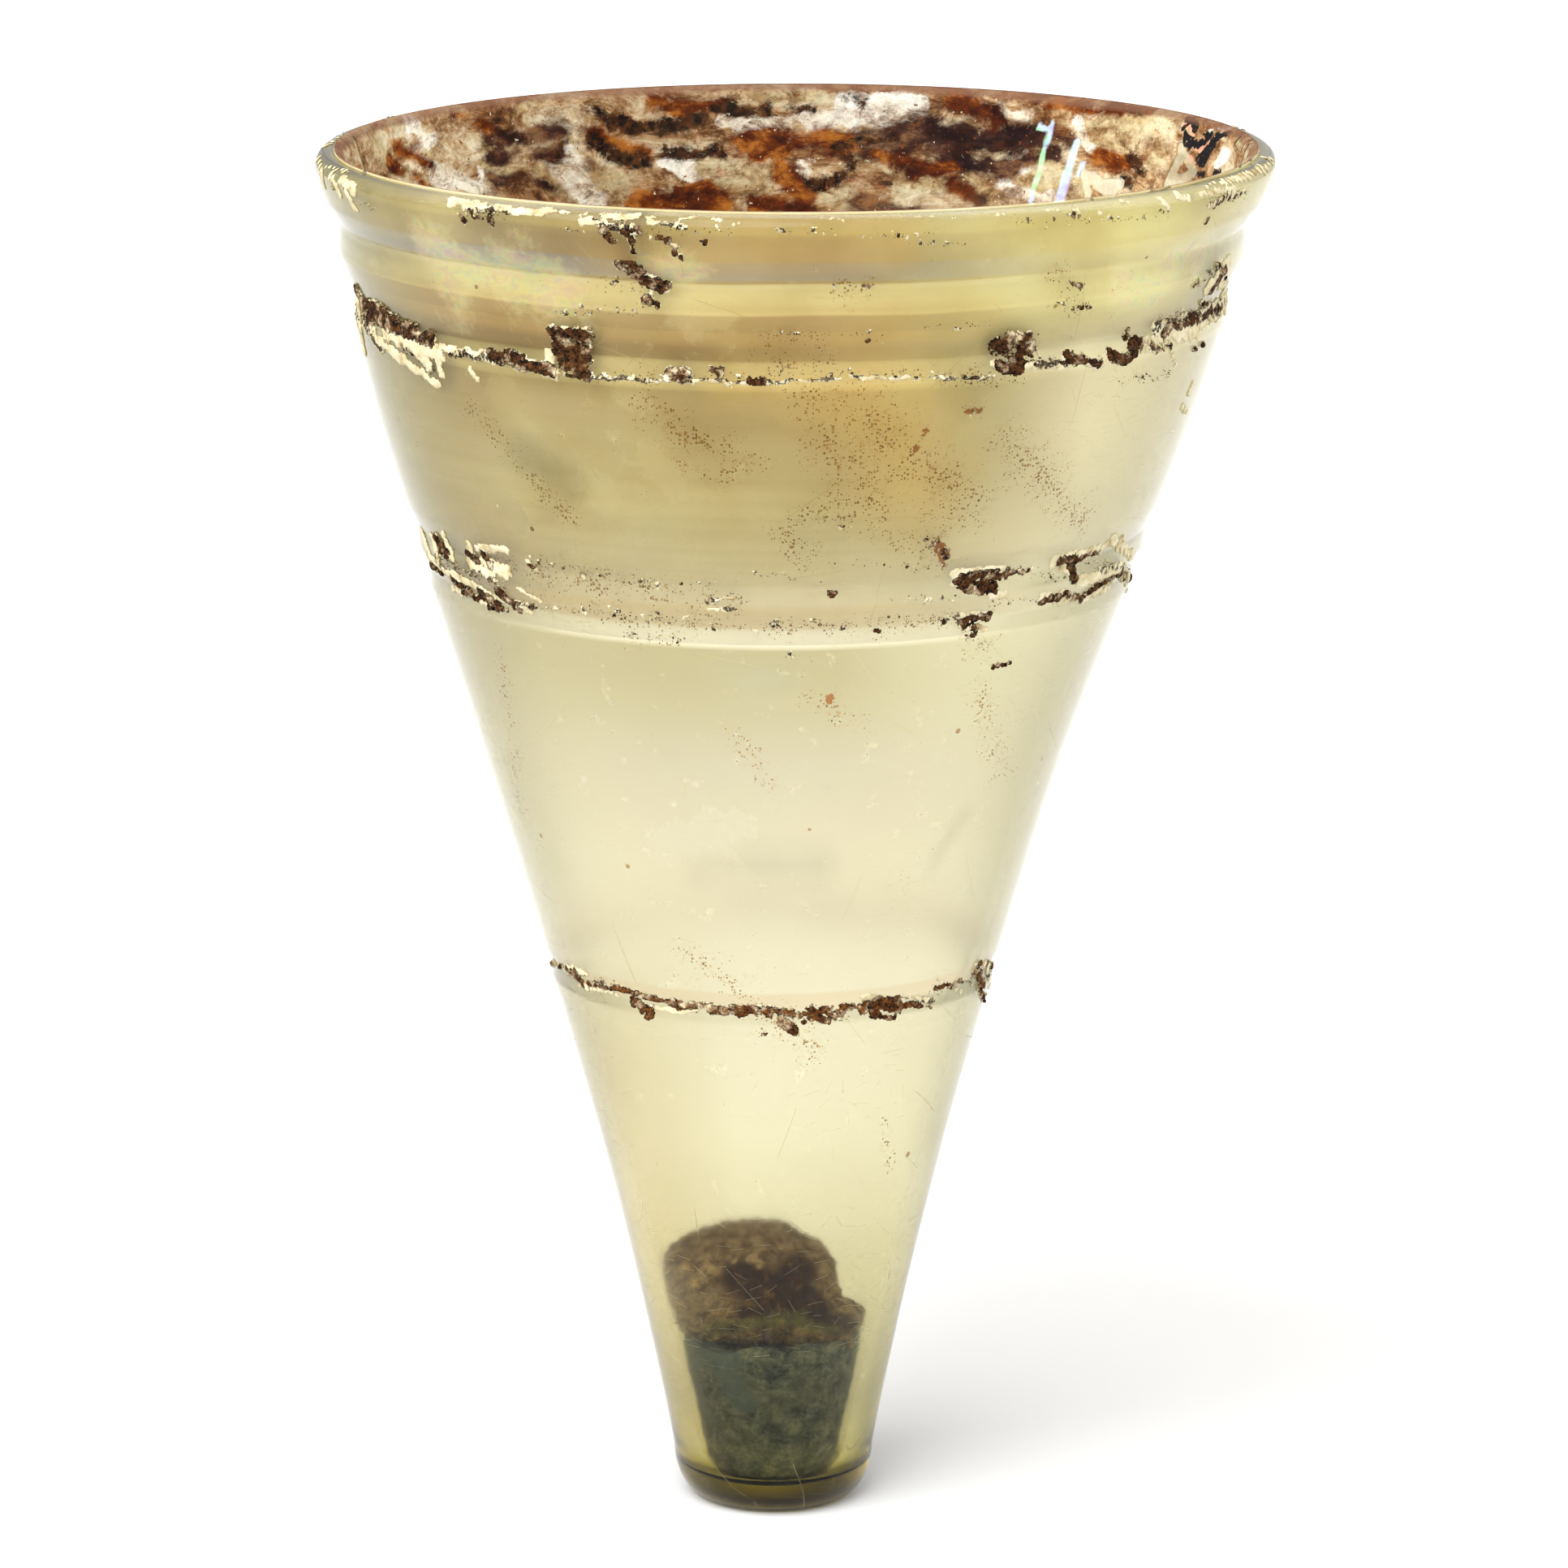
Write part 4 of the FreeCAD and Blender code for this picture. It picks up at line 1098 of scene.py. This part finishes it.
upper_dark_px = (
    (443, 360, 460, 392, 11), (456, 372, 478, 386, 9), (462, 386, 500, 404, 11), (474, 396, 532, 418, 9),
    (518, 416, 534, 423, 6), (606, 434, 644, 442, 7), (644, 449, 682, 456, 6), (684, 410, 724, 412, 9),
    (692, 420, 718, 446, 15), (696, 448, 722, 460, 9), (692, 430, 720, 428, 12), (826, 461, 844, 461, 8),
    (875, 457, 887, 458, 6), (924, 467, 938, 468, 5), (728, 404, 730, 404, 3), (1068, 418, 1070, 419, 3),
    (1230, 426, 1266, 420, 13), (1242, 434, 1256, 440, 9), (1248, 440, 1252, 456, 8),
    (1230, 452, 1244, 456, 7), (1244, 416, 1268, 432, 10), (1314, 436, 1330, 442, 7),
    (1330, 445, 1353, 448, 4), (1388, 412, 1402, 424, 9), (1392, 424, 1396, 436, 8),
    (1366, 438, 1386, 442, 7), (1417, 427, 1425, 429, 6), (1430, 412, 1444, 396, 5),
    (1446, 402, 1472, 392, 6), (1476, 390, 1506, 374, 6), (1480, 372, 1500, 380, 4),
    (1490, 356, 1506, 334, 6), (1500, 326, 1508, 340, 4), (768, 324, 788, 333, 9), (783, 338, 814, 350, 9),
    (796, 368, 808, 374, 5), (1440, 530, 1432, 546, 5), (1432, 546, 1427, 562, 4),
    (1440, 530, 1442, 540, 3), (1321, 348, 1327, 352, 5), (1497, 306, 1498, 318, 2),
    (548, 434, 556, 436, 3), (1066, 352, 1070, 354, 3), (1470, 430, 1480, 424, 4))
upper_grit_px = (
    (700, 464, 834, 466, 7), (834, 464, 980, 468, 8), (956, 460, 1068, 462, 9), (1068, 462, 1224, 462, 6),
    (560, 436, 680, 456, 8), (1270, 444, 1294, 446, 12), (1296, 446, 1354, 446, 6),
    (1400, 432, 1440, 426, 6), (440, 380, 470, 430, 10), (500, 430, 540, 460, 8),
    (1424, 400, 1500, 380, 14), (735, 345, 800, 352, 12), (1030, 348, 1072, 354, 8),
    (1300, 345, 1330, 352, 8), (1470, 350, 1500, 330, 10), (690, 384, 800, 380, 8),
    (1290, 380, 1350, 372, 10), (960, 410, 1090, 416, 7), (1140, 404, 1200, 400, 6),
    (1380, 470, 1440, 460, 8), (1160, 470, 1260, 470, 8), (1192, 500, 1208, 510, 7))
upper_marks = (
    marks_of((ground, upper_pale_px, 1.4), (dark, upper_dark_px, 1.45), (grit, upper_grit_px, 1.5))
    + strewn(141.5 * mm, 146 * mm, 40, 1.1 * mm, 12))
crust("upper_groove_crust_patches", "upper_groove_crust", stretch_of(132 * mm, lip_edge[1]),
      upper_marks, 0.42 * mm, 0.17 * mm, burial_crust, 2)

# The same crust clings to both steps of the middle band: cream flakes at the left, dark
# honeycombed chips at the right, and a peppering of brown grains between them.
middle_pale_px = (
    (520, 652, 530, 684, 6), (528, 684, 536, 700, 6), (534, 662, 540, 690, 7), (548, 660, 558, 690, 6),
    (578, 672, 582, 700, 7), (588, 674, 624, 678, 6), (596, 690, 624, 704, 9), (584, 698, 610, 712, 8),
    (532, 688, 552, 706, 8), (552, 706, 576, 716, 7), (576, 716, 606, 734, 7), (604, 734, 656, 750, 7),
    (560, 724, 600, 742, 5), (638, 724, 664, 740, 4), (654, 692, 660, 700, 4), (1176, 706, 1240, 702, 8),
    (1176, 718, 1232, 732, 7), (1240, 706, 1270, 702, 4), (1298, 692, 1352, 676, 9),
    (1308, 700, 1330, 716, 6), (1306, 730, 1332, 738, 7), (1330, 716, 1382, 700, 9),
    (1334, 738, 1366, 722, 6), (1376, 700, 1394, 714, 8), (1182, 760, 1218, 756, 7),
    (1180, 770, 1206, 774, 5), (1284, 734, 1306, 740, 7), (1370, 664, 1394, 684, 8),
    (1352, 676, 1380, 664, 5), (870, 740, 902, 736, 3), (874, 750, 900, 750, 3), (870, 742, 872, 750, 3),
    (1386, 720, 1392, 736, 4), (644, 856, 652, 872, 4), (1184, 786, 1214, 776, 4))
middle_dark_px = (
    (540, 664, 552, 680, 8), (546, 680, 552, 686, 5), (578, 680, 590, 690, 6), (598, 682, 607, 696, 6),
    (534, 695, 546, 706, 5), (562, 714, 580, 726, 6), (597, 732, 616, 746, 10), (616, 728, 634, 742, 7),
    (636, 748, 642, 753, 4), (655, 695, 659, 698, 3), (717, 706, 721, 709, 3), (1182, 712, 1222, 708, 9),
    (1184, 722, 1222, 722, 8), (1222, 712, 1244, 706, 5), (1244, 704, 1266, 702, 3),
    (1304, 690, 1330, 686, 6), (1330, 684, 1352, 678, 4), (1316, 694, 1322, 712, 7),
    (1312, 728, 1330, 738, 5), (1336, 730, 1352, 720, 6), (1352, 720, 1378, 706, 4),
    (1378, 706, 1390, 712, 6), (1186, 764, 1216, 758, 7), (1186, 770, 1196, 773, 4),
    (1284, 740, 1304, 734, 6), (1021, 729, 1026, 732, 4), (1080, 775, 1083, 777, 3),
    (1154, 668, 1164, 686, 3), (1224, 820, 1246, 814, 3), (604, 748, 626, 752, 4), (572, 728, 592, 738, 5),
    (1140, 664, 1150, 670, 3), (648, 860, 652, 868, 2))
middle_grit_px = (
    (717, 700, 780, 718, 9), (745, 706, 810, 720, 9), (724, 752, 762, 764, 9), (735, 750, 800, 764, 10),
    (800, 758, 880, 774, 10), (870, 736, 905, 750, 7), (950, 768, 985, 772, 7), (1000, 764, 1050, 772, 8),
    (1085, 760, 1165, 764, 9), (770, 782, 835, 790, 7), (860, 778, 876, 784, 5), (975, 806, 1000, 812, 5),
    (1190, 780, 1215, 794, 9), (660, 690, 720, 700, 8), (640, 744, 720, 756, 7), (880, 770, 960, 774, 6),
    (1160, 762, 1190, 766, 8), (905, 700, 1010, 716, 6), (1016, 690, 1140, 700, 6),
    (1240, 700, 1310, 716, 7), (540, 690, 620, 720, 9), (1310, 690, 1390, 700, 8),
    (1220, 742, 1300, 736, 6), (1100, 738, 1180, 736, 5), (990, 632, 1040, 645, 10),
    (1145, 664, 1168, 690, 8), (820, 715, 880, 722, 5))
back_smudges = smudges_of(
    (0.295, 116, 1.6, ground), (0.300, 116.4, 1.3, dark), (0.308, 115.6, 1.5, dark),
    (0.316, 116, 1.2, ground), (0.330, 113, 1.0, dark), (0.262, 113, 0.9, dark),
    (0.27, 113.4, 1.1, ground))
middle_marks = (
    marks_of((ground, middle_pale_px, 1.4), (dark, middle_dark_px, 1.45), (grit, middle_grit_px, 1.6))
    + strewn(111.8 * mm, 120 * mm, 34, 1.0 * mm, 13) + back_smudges)
crust("middle_groove_crust_patches", "middle_groove_crust", stretch_of(105 * mm, 127 * mm),
      middle_marks, 0.4 * mm, 0.16 * mm, burial_crust, 3)

# Rusty dark crust almost rings the single groove near the foot, granular and torn, and hangs
# below it in a blob or two.
lower_pale_px = (
    (680, 1184, 700, 1196, 5), (700, 1190, 722, 1200, 5), (716, 1214, 760, 1224, 4),
    (800, 1240, 860, 1246, 4), (1110, 1226, 1150, 1232, 4), (1196, 1184, 1222, 1190, 5),
    (1216, 1194, 1222, 1236, 5), (962, 1256, 980, 1272, 5), (1064, 1226, 1110, 1228, 4),
    (1150, 1204, 1182, 1220, 3), (984, 1250, 994, 1258, 3))
lower_dark_px = (
    (682, 1186, 692, 1192, 5), (706, 1198, 720, 1210, 7), (720, 1208, 734, 1212, 4),
    (734, 1212, 760, 1218, 3), (760, 1217, 822, 1234, 5), (784, 1236, 800, 1246, 8),
    (790, 1244, 796, 1251, 5), (822, 1234, 858, 1240, 5), (858, 1238, 906, 1246, 7),
    (906, 1242, 948, 1246, 8), (948, 1242, 976, 1248, 6), (964, 1258, 976, 1268, 8),
    (986, 1250, 992, 1258, 4), (996, 1244, 1036, 1248, 8), (1000, 1252, 1020, 1256, 5),
    (1036, 1240, 1066, 1244, 6), (1068, 1240, 1110, 1238, 12), (1080, 1232, 1104, 1232, 9),
    (1074, 1248, 1100, 1252, 5), (1111, 1238, 1146, 1238, 4), (1150, 1217, 1180, 1208, 4),
    (1202, 1194, 1210, 1212, 7), (1206, 1212, 1212, 1238, 5), (1206, 1186, 1220, 1190, 5),
    (939, 1273, 942, 1274, 3), (700, 1190, 712, 1196, 4))
lower_grit_px = (
    (690, 1192, 760, 1216, 8), (760, 1220, 860, 1240, 8), (860, 1240, 980, 1250, 9),
    (980, 1250, 1070, 1248, 9), (1070, 1238, 1150, 1236, 9), (1146, 1222, 1220, 1200, 7),
    (1196, 1196, 1222, 1236, 8))
lower_smudges = smudges_of(
    (0.222, 66, 1.0, dark), (0.235, 66, 1.3, ground), (0.248, 66, 1.0, dark), (0.26, 66, 0.8, dark),
    (0.3, 66, 0.9, dark), (0.205, 66, 0.9, ground), (0.19, 66, 0.7, dark))
lower_marks = (
    marks_of((ground, lower_pale_px, 1.4), (dark, lower_dark_px, 1.35), (grit, lower_grit_px, 1.5))
    + strewn(64.6 * mm, 67.5 * mm, 26, 0.7 * mm, 14) + lower_smudges)
rusty_crust = crust_finish("rusty_crust", (0.085, 0.030, 0.006), (0.010, 0.005, 0.003))
crust("lower_groove_crust_patches", "lower_groove_crust", stretch_of(61 * mm, 69 * mm),
      lower_marks, 0.34 * mm, 0.14 * mm, rusty_crust, 4)

# Grey-green silt washed into the foot, dried there and shrank away from the glass, most of all
# at the right. It is matt, bluer and paler in stains, and broken along its upper rim.
silt_contact, silt_top = 3.4 * mm, 19.5 * mm
silt_levels = (silt_contact, 3.8 * mm, 4.4 * mm, 7.0 * mm, 11.2 * mm, silt_top)
silt_radii = (5.9 * mm, 7.2 * mm, 7.8 * mm, 8.4 * mm, 9.3 * mm, 11.0 * mm)
silt_right_share = 0.96
silt_blue_px = (
    (850, 1660, 900, 1668, 22), (858, 1690, 880, 1740, 20), (930, 1650, 960, 1654, 14),
    (900, 1690, 920, 1720, 20))
silt_pale_px = (
    (960, 1720, 1000, 1700, 26), (900, 1760, 940, 1780, 22), (930, 1700, 950, 1740, 14),
    (1010, 1700, 1020, 1740, 12))


def crumbled(places, inward, scale, reach, seed):
    """Places pushed inward by a coarse and a fine noise, as a dried and broken surface is."""
    shift = Vector((seed, seed, seed))
    coarse, middling, fine = (
        np.array([noise_vector(Vector(p) * scale * finer + shift)[axis] for p in places])
        for axis, finer in enumerate((1, 3, 8)))
    push = coarse + 0.5 * middling + 0.25 * fine
    return places + inward * (np.clip(push + 0.6, 0, 1.4) * reach)[:, None]


def held_in(places, gap):
    """Places kept inside the hollow of the glass, clear of its wall by a gap."""
    hollow = floor_outline(0, 30) + inside_wall()
    most = np.interp(places[:, 2], [p[1] for p in hollow], [p[0] for p in hollow]) - gap
    reach = np.linalg.norm(places[:, :2], axis=1)
    share = np.minimum(1, most / np.maximum(reach, 1e-9))
    return places * np.stack([share, share, np.ones_like(share)], 1)


def silt_finish():
    """Matt grey-green silt, bluer in places, with darker and paler stains."""
    finish, tree, shader, place = blank_material("dried_silt")
    stain = noise(place, 420, 9, 0.82)
    colour = ramp(stain, [(0.40, (0.018, 0.023, 0.028)), (0.48, (0.080, 0.100, 0.112)),
                                (0.54, (0.135, 0.155, 0.152)), (0.60, (0.25, 0.26, 0.24))])
    blue = torn("blue", stain, 1.2, 0.3, 0.25)
    colour = blended(times(blue, 0.85), colour, (0.105, 0.145, 0.180))
    pale = torn("pale", stain, 1.8, 0.4, 0.25)
    colour = blended(times(pale, 0.3), colour, (0.13, 0.14, 0.11))
    matt(shader, colour, 0.9, 0.15, stain, 0.8, 0.3 * mm)
    return finish


silt_wall = [(np.interp(level, silt_levels, silt_radii), level)
             for level in np.linspace(silt_contact, silt_top, 40)]
silt_foot = [p for p in floor_outline(-0.04 * mm, 30) if p[1] < silt_contact - 0.1 * mm]
silt_crest = [
    (silt_radii[-1] - 0.4 * mm, silt_top + 1.3 * mm), (silt_radii[-1] - 1.6 * mm, silt_top + 1.2 * mm),
    (silt_radii[-1] - 4 * mm, silt_top), (0, silt_top)]
silt_outline = silt_foot + silt_wall + silt_crest
silt = turned("silt_fill_dried", spaced(silt_outline, 0.3 * mm), 220, silt_finish())
silt_places = places_of(silt)
silt_inward = -places_of(silt, "normal")
silt_places[:, 0] *= 1 - (1 - silt_right_share) * rising(silt_places[:, 0], 0, 4 * mm)
silt_loose = rising(silt_places[:, 2], silt_contact, 1 * mm)[:, None]
silt_rim = (rising(silt_places[:, 2], 16 * mm, 4 * mm)
            * rising(np.linalg.norm(silt_places[:, :2], axis=1), 7 * mm, 2 * mm))
silt_waves = np.array([0.3 + noise_vector(Vector(p) * 260).x for p in silt_places])
silt_places[:, 2] += silt_rim * 1.5 * mm * silt_waves
silt_crumbled = crumbled(silt_places, silt_inward, 420, 0.3 * mm, 3.1)
silt_places = silt_places + (silt_crumbled - silt_places) * silt_loose
silt_places = np.where(silt_loose > 0, held_in(silt_places, 0.12 * mm), silt_places)
move_to(silt, silt_places)
silt_surface = surface_of(silt)
paint(silt, silt_places, {"blue": silt_blue_px, "pale": silt_pale_px}, 1.2, silt_surface)
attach(silt, "root")
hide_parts("silt_fill")

# A clod of brown soil lies on the silt and leans on the glass to the left. It crumbles, and
# has a russet heart, tan spots, a grey-mauve side and an olive streak where it meets the silt.
clod_left_spread = 1.4 * mm
clod_russet_px = (
    (915, 1570, 985, 1600, 30), (950, 1595, 985, 1560, 28), (985, 1585, 1010, 1610, 20),
    (985, 1615, 1040, 1626, 15), (920, 1612, 980, 1618, 12))
clod_tan_px = (
    (872, 1553, 880, 1558, 8), (926, 1546, 936, 1552, 7), (900, 1546, 905, 1548, 5),
    (856, 1572, 860, 1576, 5), (830, 1560, 850, 1556, 6))
clod_mauve_px = ((826, 1590, 880, 1600, 20), (840, 1620, 890, 1630, 18), (830, 1560, 850, 1580, 14))
clod_olive_px = ((880, 1632, 985, 1618, 12), (985, 1626, 1030, 1636, 8))


def soil_finish():
    """Grey-brown soil with tan spots, a russet heart and an olive streak."""
    finish, tree, shader, place = blank_material("brown_soil")
    grain = noise(place, 640, 9, 0.84)
    colour = ramp(grain, [(0.38, (0.024, 0.013, 0.007)), (0.48, (0.18, 0.115, 0.062)),
                                (0.56, (0.34, 0.245, 0.140)), (0.66, (0.64, 0.50, 0.32))])
    for name, tint, share in (("mauve", (0.30, 0.23, 0.17), 0.8), ("russet", (0.030, 0.0045, 0.0002), 1.0),
                              ("olive", (0.13, 0.12, 0.050), 0.85), ("tan", (0.46, 0.33, 0.19), 0.9)):
        spot = torn(name, grain, 1.4, 0.32, 0.25)
        shade = scaled(tint, between(grain, 0.40, 0.60, 0.4, 1.6))
        colour = blended(times(spot, share), colour, shade)
    matt(shader, colour, 0.95, 0.15, grain, 0.9, 0.4 * mm)
    return finish


def clod_shape():
    """The frame's clod as one skin of small faces."""
    piece = frame["nodes"]["soil_clod"].copy()
    piece.data = piece.data.copy()
    piece.name = "soil_clod_crumbly"
    piece.parent = None
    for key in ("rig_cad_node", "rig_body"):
        if key in piece:
            del piece[key]
    bpy.context.scene.collection.objects.link(piece)
    remesh = piece.modifiers.new("one_skin", "REMESH")
    remesh.mode = "VOXEL"
    remesh.voxel_size = 0.25 * mm
    return settled(piece)


clod = clod_shape()
clod_places = places_of(clod)
clod_places[:, 0] -= rising(clod_places[:, 0], 0, -6 * mm) * clod_left_spread
clod_places = held_in(crumbled(clod_places, -places_of(clod, "normal"), 330, 0.9 * mm, 7.7), 0.1 * mm)
move_to(clod, clod_places)
clod_surface = surface_of(clod)
paint(clod, clod_places, {
    "russet": clod_russet_px, "tan": clod_tan_px, "mauve": clod_mauve_px, "olive": clod_olive_px},
    1.3, clod_surface)
clod.data.materials.clear()
clod.data.materials.append(soil_finish())
for face in clod.data.polygons:
    face.use_smooth = True
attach(clod, "root")
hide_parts("soil_clod")

# The beaker stands on a plain pale floor under a soft studio light from the front left.
floor_half = 3.0
floor_mesh = bpy.data.meshes.new("studio_floor")
floor_mesh.from_pydata([(-floor_half, -floor_half, 0), (floor_half, -floor_half, 0),
                        (floor_half, floor_half, 0), (-floor_half, floor_half, 0)], [], [(0, 1, 2, 3)])
studio_floor = new_object("studio_floor", floor_mesh)
floor_finish = blank_material("pale_floor")[0]
floor_shader = floor_finish.node_tree.nodes["Principled BSDF"]
floor_shader.inputs["Base Color"].default_value = (0.74, 0.74, 0.74, 1)
floor_shader.inputs["Roughness"].default_value = 1.0
floor_shader.inputs["Specular IOR Level"].default_value = 0.0
floor_mesh.materials.append(floor_finish)

world = bpy.data.worlds.new("soft_studio")
world.use_nodes = True
bpy.context.scene.world = world
backdrop = world.node_tree.nodes["Background"]
backdrop.inputs["Color"].default_value = (1, 1, 1, 1)
sky_tree = world.node_tree
sky_way = add(sky_tree, "ShaderNodeTexCoord").outputs["Generated"]
bright_side = moved("DOT_PRODUCT", sky_way, (0.75, -0.65, 0.0), output="Value")
sky_tree.links.new(between(bright_side, -1.0, 1.0, 0.45, 1.5), backdrop.inputs["Strength"])

lamp_data = bpy.data.lights.new("window_light", "SUN")
lamp_data.energy = 3.9
lamp_data.angle = radians(60)
lamp = new_object("window_light", lamp_data)
lamp.location = (-0.6, -0.75, 1.0)
lamp.rotation_euler = (-lamp.location).to_track_quat("-Z", "Y").to_euler()

camera_data = bpy.data.cameras.new("photo_camera")
camera_data.sensor_width = sensor_mm
camera_data.lens = focal_px / photo_width * sensor_mm
camera = new_object("photo_camera", camera_data)
camera.location = eye
camera.rotation_euler = (pi / 2 - look_down, 0, 0)
camera_data.clip_start = 0.01
scene = bpy.context.scene
scene.camera = camera
scene.view_settings.view_transform = "Standard"
scene.cycles.use_denoising = True
scene.cycles.max_bounces = 12
scene.cycles.transmission_bounces = 12
scene.cycles.transparent_max_bounces = 16
